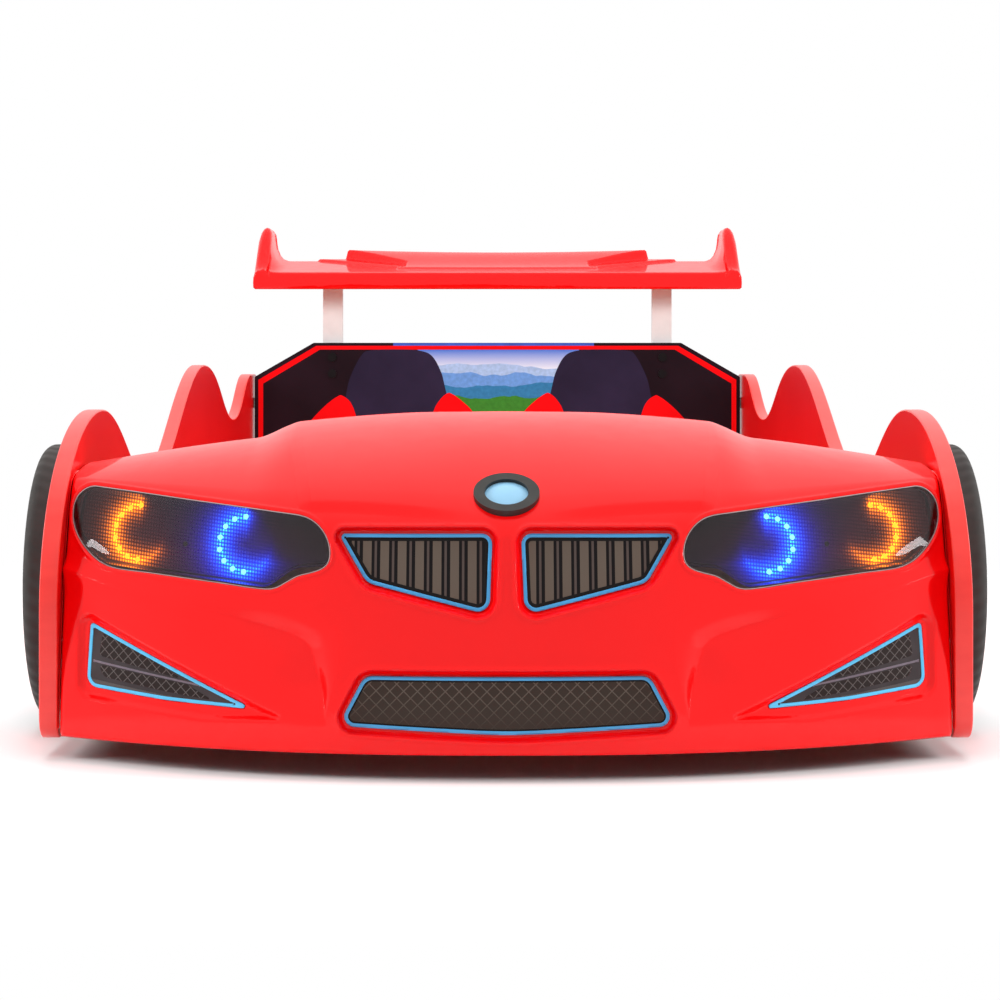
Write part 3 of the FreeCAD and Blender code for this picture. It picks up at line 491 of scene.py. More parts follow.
def node(made, kind, **settings):
    """A new node; settings whose name is a socket's set that socket, others set the node."""
    found = made.node_tree.nodes.new(kind)
    for key, value in settings.items():
        label = key.replace("_", " ")
        if label in found.inputs:
            found.inputs[label].default_value = value
        else:
            setattr(found, key, value)
    return found


def link(made, start, end):
    made.node_tree.links.new(start, end)


def math_node(made, operation, first, second=None):
    found = node(made, "ShaderNodeMath", operation=operation)
    for index, value in enumerate((first, second)):
        if value is None:
            continue
        if isinstance(value, (int, float)):
            found.inputs[index].default_value = value
        else:
            link(made, value, found.inputs[index])
    return found.outputs[0]


def plus(made, first, second):
    return math_node(made, "ADD", first, second)


def minus(made, first, second):
    return math_node(made, "SUBTRACT", first, second)


def times(made, first, second):
    return math_node(made, "MULTIPLY", first, second)


def larger(made, first, second):
    return math_node(made, "MAXIMUM", first, second)


def absolute(made, value):
    return math_node(made, "ABSOLUTE", value)


def coordinates(made):
    """Object coordinates, which are the frame's metres, as x, y and z."""
    source = node(made, "ShaderNodeTexCoord")
    split = node(made, "ShaderNodeSeparateXYZ")
    link(made, source.outputs["Object"], split.inputs[0])
    return source.outputs["Object"], split.outputs


def noise(made, scale, detail=3.0, stretch=None, distortion=0.0):
    source, _ = coordinates(made)
    if stretch is not None:
        mapping = node(made, "ShaderNodeMapping")
        mapping.inputs["Scale"].default_value = stretch
        link(made, source, mapping.inputs["Vector"])
        source = mapping.outputs[0]
    found = node(made, "ShaderNodeTexNoise", Scale=scale, Detail=detail, Distortion=distortion)
    link(made, source, found.inputs["Vector"])
    return found.outputs["Fac"]


def colour_ramp(made, factor, stops):
    found = node(made, "ShaderNodeValToRGB")
    ramp_points = found.color_ramp.elements
    while len(ramp_points) < len(stops):
        ramp_points.new(0.5)
    for point, (place, colour) in zip(ramp_points, stops):
        point.position = place
        point.color = (*colour, 1.0)
    link(made, factor, found.inputs["Fac"])
    return found.outputs["Color"]


def map_range(made, value, start=0.0, end=1.0, low=0.0, high=1.0, kind="LINEAR"):
    """Takes start to end over to low to high, and stays level beyond them."""
    found = node(made, "ShaderNodeMapRange", interpolation_type=kind)
    for label, number in (("From Min", start), ("From Max", end), ("To Min", low), ("To Max", high)):
        found.inputs[label].default_value = number
    link(made, value, found.inputs["Value"])
    return found.outputs[0]


def soft_step(made, value, start, end):
    """0 up to start and 1 beyond end, smooth between them."""
    return map_range(made, value, start, end, kind="SMOOTHSTEP")


def bump(made, height, strength, distance):
    found = node(made, "ShaderNodeBump", Strength=strength, Distance=distance)
    link(made, height, found.inputs["Height"])
    link(made, found.outputs[0], shader_of(made).inputs["Normal"])


def mix_colour(made, factor, first, second):
    found = node(made, "ShaderNodeMix", data_type="RGBA")
    link(made, factor, found.inputs["Factor"])
    for socket, value in ((found.inputs[6], first), (found.inputs[7], second)):
        if isinstance(value, tuple):
            socket.default_value = (*value, 1.0)
        else:
            link(made, value, socket)
    return found.outputs[2]


def red_plastic():
    """Glossy drawn plastic: a deep red with the faintest ripple in its gloss."""
    made = material("red_plastic", (0.93, 0.001, 0.002), 0.35, Coat_Weight=0.5, Coat_Roughness=0.02,
                    Specular_IOR_Level=0.05)
    cloud = noise(made, 3.0)
    colour = colour_ramp(made, cloud, [(0.3, (0.91, 0.001, 0.002)), (0.7, (0.95, 0.002, 0.003))])
    link(made, colour, shader_of(made).inputs["Base Color"])
    link(made, map_range(made, noise(made, 40.0), low=0.30, high=0.40), shader_of(made).inputs["Roughness"])
    bump(made, noise(made, 9.0, 1.0), 0.05, 0.002)
    return made


def red_edge_painted_highlight():
    """The sprayed board's cut edges in a paler red, which is a painted highlight, under a rougher coat."""
    made = material("red_edge_painted_highlight", (0.88, 0.018, 0.011), 0.42, Coat_Weight=0.7, Coat_Roughness=0.35)
    cloud = noise(made, 70.0, 5.0, stretch=(0.3, 1.0, 1.0))
    colour = colour_ramp(made, cloud, [(0.3, (0.85, 0.014, 0.009)), (0.7, (0.90, 0.024, 0.015))])
    link(made, colour, shader_of(made).inputs["Base Color"])
    bump(made, cloud, 0.06, 0.0006)
    return made


def red_board():
    """Sprayed board: satin red with a fine orange-peel skin."""
    made = material("red_board", (0.80, 0.004, 0.005), 0.32, Coat_Weight=0.12, Coat_Roughness=0.12,
                    Specular_IOR_Level=0.2)
    cloud = noise(made, 5.0)
    colour = colour_ramp(made, cloud, [(0.3, (0.78, 0.003, 0.004)), (0.7, (0.84, 0.006, 0.007))])
    link(made, colour, shader_of(made).inputs["Base Color"])
    bump(made, noise(made, 500.0, 2.0), 0.10, 0.0006)
    return made


TREAD_BLOCKS = 54.0
RIB_PITCH = 0.009


def tyre_finish():
    """Moulded tyre: slightly varied colour, rings on its wall and slanted tread blocks round its running
    face.
    """
    made = plain("tyre_plastic", (0.024, 0.020, 0.018), 0.62, 0.25, 30.0, 0.0)
    _, (x, y, z) = coordinates(made)
    side = absolute(made, x)
    tread = None
    for middle in WHEEL_MIDDLES:
        dy = minus(made, y, middle)
        dz = minus(made, z, WHEEL_RADIUS * MM)
        turn = math_node(made, "ARCTAN2", dz, dy)
        slant = times(made, side, 3.0)
        groove = math_node(made, "SINE", times(made, plus(made, turn, slant), TREAD_BLOCKS))
        squares = [times(made, part, part) for part in (dy, dz)]
        reach = math_node(made, "SQRT", plus(made, *squares))
        ribs = math_node(made, "SINE", times(made, reach, 2 * math.pi / RIB_PITCH))
        outside = soft_step(made, reach, 0.146, 0.153)
        ring = times(made, ribs, soft_step(made, reach, 0.146, 0.143))
        relief = plus(made, times(made, groove, outside), ring)
        near = soft_step(made, absolute(made, dy), 0.30, 0.28)
        part = times(made, relief, near)
        tread = part if tread is None else plus(made, tread, part)
    bump(made, tread, 0.5, 0.0012)
    return made


def plain(name, colour, roughness, spread=0.12, scale=60.0, grain=0.15, **sockets):
    """A plain finish with slight variation of colour and a fine surface grain."""
    made = material(name, colour, roughness, **sockets)
    dark = tuple(part * (1 - spread) for part in colour)
    light = tuple(min(1.0, part * (1 + spread)) for part in colour)
    tint = colour_ramp(made, noise(made, scale), [(0.3, dark), (0.7, light)])
    link(made, tint, shader_of(made).inputs["Base Color"])
    if grain:
        bump(made, noise(made, scale * 12, 2.0), grain, 0.0005)
    return made


def ink(name, colour, spread=0.1):
    """Matt printer's ink."""
    return plain(name, colour, 0.4, spread, 30.0, 0.03, Specular_IOR_Level=MATT_SHINE)


def wood(name, light, dark, along=(1, 14, 14)):
    made = material(name, light, 0.55)
    rings = noise(made, 6.0, 6.0, stretch=along, distortion=1.4)
    tint = colour_ramp(made, rings, [(0.32, dark), (0.5, light), (0.72, dark)])
    link(made, tint, shader_of(made).inputs["Base Color"])
    bump(made, rings, 0.2, 0.001)
    return made


def glowing(name, colour, strength):
    made = material(name, colour, 0.3)
    shader_of(made).inputs["Emission Strength"].default_value = strength
    dim = tuple(0.8 * part for part in colour)
    tint = colour_ramp(made, noise(made, 900.0), [(0.35, dim), (0.65, colour)])
    link(made, tint, shader_of(made).inputs["Emission Color"])
    return made


MATERIALS = {
    "shell": red_plastic(),
    "board": red_board(),
    # paler red for the side panels' edges: a painted highlight
    "board_edge_painted_highlight": red_edge_painted_highlight(),
    "tyre": tyre_finish(),
    "black": plain("black_plastic", (0.012, 0.012, 0.013), 0.45),
    "gloss_black": plain("gloss_black", (0.010, 0.010, 0.011), 0.12, grain=0.02),
    "rim": plain("rim_silver", (0.52, 0.53, 0.55), 0.28, 0.06, 20.0, 0.03, Metallic=0.8),
    "steel": plain("zinc_steel", (0.60, 0.60, 0.62), 0.35, 0.1, 80.0, 0.1, Metallic=1.0),
    "post": plain("white_board", (0.90, 0.90, 0.90), 0.4, 0.03, 40.0, 0.1),
    "bolt": plain("black_bolt", (0.005, 0.004, 0.005), 0.5, 0.2, 60.0, 0.1, Specular_IOR_Level=MATT_SHINE),
    "raw_board": plain("raw_board", (0.36, 0.23, 0.13), 0.8, 0.2, 120.0, 0.4),
    "print_field": plain("print_field", (0.012, 0.004, 0.008), 0.5, 0.3, 8.0, 0.05,
                         Specular_IOR_Level=0.12),
    "print_red": plain("print_red", (0.90, 0.003, 0.006), 0.5, 0.03, 20.0, 0.03, Specular_IOR_Level=0.1),
    "print_rim": plain("print_rim", (0.06, 0.36, 0.72), 0.35, 0.08, 20.0, 0.05),
    "intake_rim": plain("intake_rim", (0.10, 0.52, 0.85), 0.35, 0.08, 20.0, 0.05),
    "pine": wood("pine", (0.62, 0.42, 0.22), (0.50, 0.31, 0.15)),
    "print_grey": ink("print_grey", (0.085, 0.075, 0.075)),
    "print_pale": ink("print_pale", (0.17, 0.14, 0.17)),
    "badge_disc": plain("badge_disc", (0.25, 0.50, 0.70), 0.25, 0.05, 20.0, 0.02),
    "badge_ring": plain("badge_ring", (0.016, 0.015, 0.013), 0.4, 0.3, 60.0, 0.2),
    "amber": glowing("amber_light", (1.0, 0.30, 0.004), 5.0),
    "blue": glowing("blue_light", (0.10, 0.42, 1.0), 6.0),
}


BAR_PITCH = 0.01726


def bars_print(name, centre):
    """Upright bars: a wide brown-grey one, then black, thin, black; centre is one wide bar's middle."""
    made = material(name, (0.10, 0.08, 0.07), 0.4, Specular_IOR_Level=MATT_SHINE)
    _, (x, _, _) = coordinates(made)
    start = centre - 0.25 * BAR_PITCH + 60 * BAR_PITCH
    along = plus(made, x, -start + 120 * BAR_PITCH)
    phase = math_node(made, "FRACT", math_node(made, "DIVIDE", along, BAR_PITCH))
    black = (0.003, 0.0015, 0.002)
    wide = (0.125, 0.095, 0.075)
    thin = (0.085, 0.062, 0.055)
    stops = [(0.0, wide), (0.495, wide), (0.505, black), (0.665, black), (0.675, thin),
             (0.80, thin), (0.81, black), (0.985, black)]
    colour = colour_ramp(made, phase, stops)
    link(made, colour, shader_of(made).inputs["Base Color"])
    return made


def mesh_print(name, field, line, pitch, slope=1.0, fade=None):
    """Crossed thin lines on a dark field; fade gives the heights between which they appear."""
    made = material(name, field, 0.4, Specular_IOR_Level=MATT_SHINE)
    _, (x, _, z) = coordinates(made)
    rise = times(made, z, slope)
    marks = []
    for operation in ("ADD", "SUBTRACT"):
        across = math_node(made, "DIVIDE", math_node(made, operation, x, rise), pitch)
        saw = math_node(made, "FRACT", plus(made, across, 200.0))
        marks.append(math_node(made, "LESS_THAN", saw, 0.11))
    either = larger(made, marks[0], marks[1])
    if fade is not None:
        either = times(made, either, map_range(made, z, *fade, low=0.1))
    link(made, mix_colour(made, either, field, line), shader_of(made).inputs["Base Color"])
    return made


# Centre x, centre z and radius in metres of each ring of lamps; the painted glow on the tray falls off from
# these.
AMBER_ARC = (0.379, 0.232, 0.028)
BLUE_ARC = (0.263, 0.224, 0.027)


def arc_distance(made, x, z, arc):
    """Distance to the outer half of a ring of lamps; it grows on towards the bed's middle."""
    centre_x, centre_z, radius = arc
    side = absolute(made, x)
    dx = minus(made, side, centre_x)
    dz = minus(made, z, centre_z)
    square = plus(made, times(made, dx, dx), times(made, dz, dz))
    ring = absolute(made, minus(made, math_node(made, "SQRT", square), radius))
    inner = larger(made, times(made, dx, -1.0), 0.0)
    rise = plus(made, times(made, dz, 50.0), 1.25)
    decay = math_node(made, "MINIMUM", larger(made, rise, 0.35), 2.4)
    return plus(made, ring, times(made, inner, decay))


def falloff(made, distance, reach, strength):
    share = math_node(made, "DIVIDE", distance, -reach)
    return times(made, math_node(made, "EXPONENT", share), strength)


def reflector_painted_glow():
    """Dark tray with a fine grid of facets and a painted glow on it: emission that stands for the lamps'
    light and falls off with distance from each ring of lamps.
    """
    made = material("reflector_painted_glow", (0.03, 0.010, 0.014), 0.4, Specular_IOR_Level=0.08)
    _, (x, _, z) = coordinates(made)
    waves = []
    tilt = times(made, x, 0.12)
    for axis, pitch in ((x, 0.0030), (plus(made, z, tilt), 0.0036)):
        waves.append(math_node(made, "SINE", times(made, axis, 2 * math.pi / pitch)))
    dots = larger(made, times(made, waves[0], 0.5), -0.5)
    dots = times(made, plus(made, dots, 0.5),
                     plus(made, times(made, waves[1], 0.5), 0.5))
    facets = plus(made, times(made, dots, 0.85), 0.15)
    amber = arc_distance(made, x, z, AMBER_ARC)
    blue = arc_distance(made, x, z, BLUE_ARC)
    # The painted glow: the lamps' light on the tray as emission, in dots, facets and a haze round each
    # ring.
    parts = [
        (times(made, dots, falloff(made, amber, 0.0052, 15.0)), (1.0, 0.24, 0.001)),
        (falloff(made, amber, 0.0035, 2.4), (1.0, 0.16, 0.001)),
        (falloff(made, amber, 0.035, 0.09), (0.8, 0.06, 0.01)),
        (times(made, facets, falloff(made, blue, 0.012, 2.2)), (0.0, 0.012, 1.0)),
        (falloff(made, blue, 0.0085, 4.5), (0.0, 0.02, 1.0)),
        (times(made, dots, falloff(made, blue, 0.0045, 9.0)), (0.02, 0.42, 1.0)),
        (falloff(made, blue, 0.05, 0.10), (0.16, 0.004, 0.45)),
    ]
    total = None
    for strength, colour in parts:
        scaled = node(made, "ShaderNodeVectorMath", operation="SCALE")
        scaled.inputs[0].default_value = colour
        link(made, strength, scaled.inputs["Scale"])
        if total is None:
            total = scaled.outputs[0]
            continue
        summed = node(made, "ShaderNodeVectorMath", operation="ADD")
        link(made, total, summed.inputs[0])
        link(made, scaled.outputs[0], summed.inputs[1])
        total = summed.outputs[0]
    shader = shader_of(made)
    facing = node(made, "ShaderNodeNewGeometry")
    split = node(made, "ShaderNodeSeparateXYZ")
    link(made, facing.outputs["Normal"], split.inputs[0])
    # the painted glow shows only on faces that look forward
    link(made, math_node(made, "LESS_THAN", split.outputs[1], -0.2), shader.inputs["Emission Strength"])
    link(made, total, shader.inputs["Emission Color"])
    tint = colour_ramp(made, facets, [(0.2, (0.018, 0.004, 0.006)), (0.8, (0.060, 0.016, 0.020))])
    link(made, tint, shader.inputs["Base Color"])
    return made


def smoked():
    """Smoked clear plastic."""
    made = material("smoked_lens", (0.66, 0.56, 0.60), 0.0, Transmission_Weight=1.0, IOR=1.2,
                    Coat_Weight=0.3, Coat_Roughness=0.0, Coat_IOR=1.5)
    tint = colour_ramp(made, noise(made, 12.0), [(0.3, (0.62, 0.52, 0.56)), (0.7, (0.70, 0.60, 0.64))])
    link(made, tint, shader_of(made).inputs["Base Color"])
    return made


MATERIALS["intake_mesh"] = mesh_print("intake_mesh", (0.020, 0.013, 0.012), (0.105, 0.088, 0.085), 0.0105)
MATERIALS["smoked"] = smoked()

# ================================================================ front shell

def shell():
    bm = sheet((-SHELL_HALF, SHELL_HALF), lambda x, v: section(x, v)[1], 361, 221)
    for field, levels in (
            (lens_depth, (-3.5, -2.0, -0.6, LENS_SEAT - LENS_GAP)),
            (upper_depth, (-LIP - 2.0, -LIP, -LIP + 1.2, -LIP + 2.6, -2.5, -1.0, 0.5)),
            (lower_depth, (-LIP - 2.0, -LIP, -LIP + 1.2, -LIP + 2.6, -2.5, -1.0, 0.5)),
            (intake_depth, (-4.0, -2.0, 0.0)),
            (intake_recess_depth, (0.0, 3.0, 6.0, 9.0))):
        for level in levels:
            cut_along(bm, field, level)
    for edge_index in (0, 1):
        cut_along(bm, lambda x, z: np.abs(x) - valley_edges(z)[edge_index], 0.0)
    cut_along(bm, lambda x, z: np.abs(x) - dome_line(z), 0.0)
    cut_along(bm, lambda x, z: np.abs(x) - dome_line(z) - DOME_FALL, 0.0)
    drop_inside(bm, lens_depth, LENS_SEAT - LENS_GAP)
    lift(bm, shell_places)
    piece = from_bmesh("bonnet_and_bumper", bm, MATERIALS["shell"])
    thicken(piece, 3.0, -1.0)
    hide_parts("front_shell")


def flanges():
    """The shell's turned-in borders, which lie along the side panels."""
    heights = np.linspace(SHELL_BOTTOM + 8, HOOD_SIDE - 6, 60)
    for side, name in ((-1, "left"), (1, "right")):
        front = shell_y(np.full(heights.shape, side * SHELL_HALF), heights) + 5.0
        x = np.full(heights.shape, side * (SHELL_HALF + CORNER_REACH))
        rows = [[tuple(point) for point in place_arrays(x, front + back, heights)]
                for back in (0.0, 1.0, 14.0, 26.0)]
        piece = grid_mesh("flange_" + name, rows, MATERIALS["shell"])
        thicken(piece, 1.0, 0.0)


def patch(name, field, span, cells, finish, inset=0.0, width=None, behind=0.0, thickness=1.2):
    """A thin plate that follows the shell inside one outline, or a border of one width."""
    (x0, x1), (z0, z1) = span
    bm = sheet((x0, x1), lambda x, v: z0 + (z1 - z0) * v, *cells)
    cut_along(bm, field, inset)
    keep_inside(bm, field, inset)
    if width is not None:
        cut_along(bm, field, inset + width)
        drop_inside(bm, field, inset + width)
    lift(bm, lambda x, z: shell_places(x, z, behind, pockets=False))
    piece = from_bmesh(name, bm, finish)
    thicken(piece, thickness, 1.0)
    return piece


def plates():
    """The printed plates with their light-blue borders, on the recesses' floors."""
    floor = POCKET - 1.3
    black = ink("print_black", (0.004, 0.003, 0.003), 0.3)
    mesh = mesh_print("lower_mesh", (0.040, 0.027, 0.021), (0.11, 0.085, 0.07), 0.0135, fade=(0.055, 0.09))
    ground = ink("intake_ground", (0.045, 0.036, 0.038), 0.2)
    jobs = [
        ("upper_left", upper_depth, ((-175, -5), (155, 245)), (86, 46), bars_print("bars_left", -0.1376),
         "print_rim", 3.6, 3.4),
        ("upper_right", upper_depth, ((5, 175), (155, 245)), (86, 46), bars_print("bars_right", 0.0416),
         "print_rim", 3.6, 3.4),
        ("lower", lower_depth, ((-172, 172), (40, 108)), (173, 36), mesh, "print_rim", 3.6, 1.6),
        ("left", intake_depth, ((-435, -240), (55, 150)), (99, 48), ground, "intake_rim", 3.4, None),
        ("right", intake_depth, ((240, 435), (55, 150)), (99, 48), ground, "intake_rim", 3.4, None),
    ]
    for name, field, span, cells, finish, rim, width, line in jobs:
        plate = patch(name + "_plate", field, span, cells, finish, behind=floor, thickness=1.1)
        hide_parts(("intake_inlay_" if line is None else "grille_inlay_") + name)
        border = patch(name + "_rim", field, span, cells, MATERIALS[rim], 0.0, width, floor - 0.5, 0.5)
        if line is not None:
            inner = patch(name + "_line", field, span, cells, black, width, line, floor - 0.3, 0.3)
        else:
            intake_print(name, span, floor)


def intake_print(name, span, floor):
    """Two dark meshes, a pale divider and a grey band on a side intake's plate."""
    mesh = MATERIALS["intake_mesh"]
    shapes = [
        ("band", [(-428, 86, 4), (-340, 74.5, 200), (-293, 70.5, 4), (-262, 66, 1), (-340, 67, 200),
                  (-428, 74, 6)], MATERIALS["print_grey"]),
        ("mesh_upper", [(-415, 109, 4), (-412, 132, 4), (-401, 130, 4), (-322, 91, 1)], mesh),
        ("mesh_lower", [(-417, 100.5, 3), (-318, 86.5, 4), (-291, 72.5, 1), (-341, 78.5, 200),
                        (-408, 88, 5)], mesh),
        ("divider", [(-421, 104.5, 0.4), (-305, 87.6, 0.4), (-305, 85.6, 0.4), (-421, 102.3, 0.4)],
         MATERIALS["print_pale"]),
    ]
    for label, corners, finish in shapes:
        outline = two_sided(corners)
        field = (lambda shape: lambda x, z: np.minimum(shape(x, z), intake_depth(x, z) - 3.2))(outline)
        piece = patch("%s_%s" % (label, name), field, span, (131, 64), finish, behind=floor - 0.25,
                      thickness=0.2)


def lenses():
    """The smoked covers, each with a thin pale ring along its edge, which is a painted highlight."""
    # pale ring along each lens's edge: a painted highlight
    rim = plain("lens_painted_highlight_edge", (0.46, 0.33, 0.33), 0.15, 0.1, 40.0, 0.02)
    for side, span in (("left", (-456, -165)), ("right", (165, 456))):
        piece = patch("lens_" + side, lens_depth, (span, (175, 290)), (146, 58), MATERIALS["smoked"],
                      inset=LENS_SEAT, behind=0.4, thickness=2.2)
        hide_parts("headlight_lens_" + side)
        edge = patch("lens_painted_highlight_edge_" + side, lens_depth, (span, (175, 290)), (146, 58), rim,
                     inset=LENS_SEAT, width=0.8, behind=0.3, thickness=0.2)


# ================================================================ wing

WING_HALF = 456.0
WING_LIP = 32.0
WING_RISE = 30.0
WING_BELLY = 15.0
WING_REAR_EDGE = 14.0
FIN_TIP = 122.0
FIN_STEP = 7.0
DECK_RISE = 18.0


def wing_top(x, share):
    """Height of the wing's top over its bottom; share runs from the front (0) to the rear (1)."""
    side = np.abs(x)
    base = WING_LIP + WING_RISE * share
    ahead = smooth((share - 0.28) / 0.08)
    deck_edge = 176 + 119 * np.clip((share - 0.58) / 0.42, 0, 1)
    ledge_edge = 192 + 158 * np.clip((share - 0.42) / 0.58, 0, 1)
    deck = DECK_RISE * smooth((share - 0.30) / 0.70) * smooth((deck_edge - side) / 6)
    ledge = 4.0 * smooth((ledge_edge - side) / 5) * ahead
    sag = 5.0 * (1 - (side / 290) ** 2) * share * (side < 290)
    return base + deck + ledge - sag


def fin_height(share):
    """The end fins climb from the lip to their tip and stay level to the rear."""
    return WING_LIP + FIN_STEP + (FIN_TIP - WING_LIP - FIN_STEP) * smooth(share / 0.58)


def wing_loop(share):
    """The closed outline of one section across the wing, from the left bottom corner round."""
    tip = float(fin_height(share))
    top_at_fin = float(wing_top(np.array(400.0), share))
    climb = tip - top_at_fin
    fin = [(4, 0.0), (0.5, 3.0), (0, 12.0), (0, 0.35 * tip), (0.6, 0.60 * tip), (3.5, 0.80 * tip),
           (8, 0.92 * tip), (13, tip - 2.6), (18, tip), (23, tip - 1.6), (27, tip - 8), (28.5, tip - 16),
           (29, top_at_fin + 0.62 * climb), (31, top_at_fin + 0.40 * climb),
           (36, top_at_fin + 0.20 * climb), (43, top_at_fin + 0.07 * climb),
           (52, top_at_fin + 0.01 * climb)]
    left = [(inset - WING_HALF, height) for inset, height in fin]
    spans = np.concatenate([np.linspace(-400, -360, 5), np.linspace(-354, -150, 103),
                            np.linspace(-140, 140, 29), np.linspace(150, 354, 103),
                            np.linspace(360, 400, 5)])
    top = list(zip(spans, wing_top(spans, share)))
    right = [(-x, z) for x, z in reversed(left)]
    return np.array(left + top + right)


def wing():
    rounding = 5.0
    stations = [(0.0, 4.0), (0.6, 2.0), (2.0, 0.8), (rounding, 0.0)]
    stations += [(place, 0.0) for place in np.linspace(10, WING_DEPTH - 5, 56)]
    stations += [(WING_DEPTH - 1.5, 0.5), (WING_DEPTH, 2.0)]
    rows = []
    for place, inset in stations:
        share = place / WING_DEPTH
        loop = wing_loop(share)
        bottom = WING_BELLY * math.sin(math.pi * min(share, 1.0)) if share < 0.5 else (
            WING_BELLY + (WING_LIP + WING_RISE - WING_REAR_EDGE - WING_BELLY) * (share - 0.5) / 0.5)
        height = np.maximum(loop[:, 1], 0)
        z = WING_BOTTOM + np.where(height < 3.5, bottom + height, np.maximum(height, bottom + 3.5))
        x = loop[:, 0] * (1 - inset / WING_HALF)
        middle = WING_BOTTOM + 0.5 * (bottom + WING_LIP)
        z = np.where(z > middle, z - inset, z + inset)
        y = np.full(x.shape, WING_FRONT + place)
        rows.append([tuple(point) for point in place_arrays(x, y, z)])
    piece = grid_mesh("wing", rows, MATERIALS["shell"], closed=True, caps=True)
    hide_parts("rear_wing")


# ================================================================ side panels

def bezier(poles, steps):
    t = np.linspace(0, 1, steps + 1)[:, None]
    poles = np.array(poles, float)
    return ((1 - t) ** 3 * poles[0] + 3 * t * (1 - t) ** 2 * poles[1]
            + 3 * t * t * (1 - t) * poles[2] + t ** 3 * poles[3])


def half_wave(start, end, hold_start, hold_end):
    span = end[0] - start[0]
    return bezier([start, (start[0] + hold_start * span, start[1]),
                   (end[0] - hold_end * span, end[1]), end], 36)


def quarter(centre, radius, first, last):
    angles = np.radians(np.linspace(first, last, 10))
    return np.stack([centre[0] + radius * np.cos(angles), centre[1] + radius * np.sin(angles)], axis=1)


def panel_outline():
    """(y, z) points round a side panel, as the construction has them."""
    hump, dip, fin = (297.0, 355.0), (700.0, 250.0), (1301.0, 409.0)
    valley_low, tail_top = (HEADBOARD_FRONT - 340, 316.0), (HEADBOARD_FRONT - 30, 394.0)
    length, foot = 2180.0, 20.0
    runs = [
        bezier([(0, 150), (0, 250), (107, 355), hump], 44),
        half_wave(hump, dip, 0.38, 0.38), half_wave(dip, fin, 0.38, 0.38),
        half_wave(fin, valley_low, 0.50, 0.38), half_wave(valley_low, tail_top, 0.50, 0.38),
        quarter((length - 50, tail_top[1] - 50), 50, 90, 0),
        quarter((length - 25, foot + 25), 25, 0, -90), quarter((25, foot + 25), 25, -90, -180),
    ]
    points = np.concatenate(runs)
    keep = np.linalg.norm(points - np.roll(points, 1, axis=0), axis=1) > 0.01
    return points[keep]


def panels():
    outline = panel_outline()
    ahead = np.roll(outline, -1, axis=0) - np.roll(outline, 1, axis=0)
    normal = np.stack([ahead[:, 1], -ahead[:, 0]], axis=1)
    normal /= np.linalg.norm(normal, axis=1)[:, None]
    radius = 2.0
    for side, name in ((-1, "left"), (1, "right")):
        rows = []
        for depth in (0.0, PANEL_THICKNESS):
            angles = np.linspace(0, math.pi / 2, 5) if depth == 0 else np.linspace(math.pi / 2, 0, 5)
            for angle in angles:
                inset = radius * (1 - math.sin(angle))
                across = radius * (1 - math.cos(angle))
                x = INNER_HALF + (across if depth == 0 else PANEL_THICKNESS - across)
                ring = outline + normal * inset
                rows.append([tuple(point) for point in place_arrays(
                    np.full(len(ring), side * x), ring[:, 0], ring[:, 1])])
        piece = grid_mesh("panel_" + name, rows, MATERIALS["board"], closed=True, caps=True)
        # second material: the edges' paler red, a painted highlight
        piece.data.materials.append(MATERIALS["board_edge_painted_highlight"])
        finish_edges(piece)
        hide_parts("side_panel_" + name)


def finish_edges(piece):
    """Flat faces keep flat shading; the narrow faces round them get the paler red of the painted highlight.
    """
    mesh = piece.data
    for polygon in mesh.polygons:
        narrow = len(polygon.vertices) == 4
        polygon.use_smooth = narrow
        polygon.material_index = int(narrow)
    mesh.update()


# ================================================================ headboard print

def flat_shape(name, points, offset, finish):
    """A filled printed shape in the front view, offset mm in front of the headboard."""
    bm = bmesh.new()
    verts = [bm.verts.new(put(x, HEADBOARD_FRONT - offset, z)) for x, z in points]
    bm.faces.new(verts)
    bmesh.ops.triangulate(bm, faces=bm.faces)
    bmesh.ops.recalc_face_normals(bm, faces=bm.faces)
    piece = from_bmesh(name, bm, finish, shade=False)
    thicken(piece, 0.04, 0.0)
    return piece


SKY_HEIGHTS = (0.400, 0.442)
# From the far ridge to the near one: middle height and swell in metres, waves per metre, colour.
RIDGES = [
    (0.408, 0.020, 9.0, (0.42, 0.60, 0.92)),
    (0.392, 0.018, 13.0, (0.16, 0.36, 0.80)),
    (0.374, 0.016, 11.0, (0.04, 0.22, 0.46)),
    (0.352, 0.014, 17.0, (0.05, 0.24, 0.03)),
]


def ridge_picture():
    """A generic picture: ridges of hazy blue hills, one before the other, and a green one in front."""
    made = material("print_ridges", (0.2, 0.4, 0.9), 0.45, Specular_IOR_Level=MATT_SHINE)
    _, (_, _, z) = coordinates(made)
    height = map_range(made, z, *SKY_HEIGHTS)
    seen = colour_ramp(made, height, [(0.0, (0.85, 0.90, 1.0)), (1.0, (0.03, 0.15, 0.70))])
    for middle, swell, waves, colour in RIDGES:
        rise = minus(made, noise(made, waves, 3.0, stretch=(1.0, 1.0, 0.0)), 0.5)
        crest = plus(made, times(made, rise, 2.0 * swell), middle)
        mottled = colour_ramp(made, noise(made, 150.0),
                              [(0.3, tuple(0.8 * part for part in colour)), (0.7, colour)])
        seen = mix_colour(made, math_node(made, "LESS_THAN", z, crest), seen, mottled)
    link(made, seen, shader_of(made).inputs["Base Color"])
    return made


PRINT_MIDDLE = 2.0


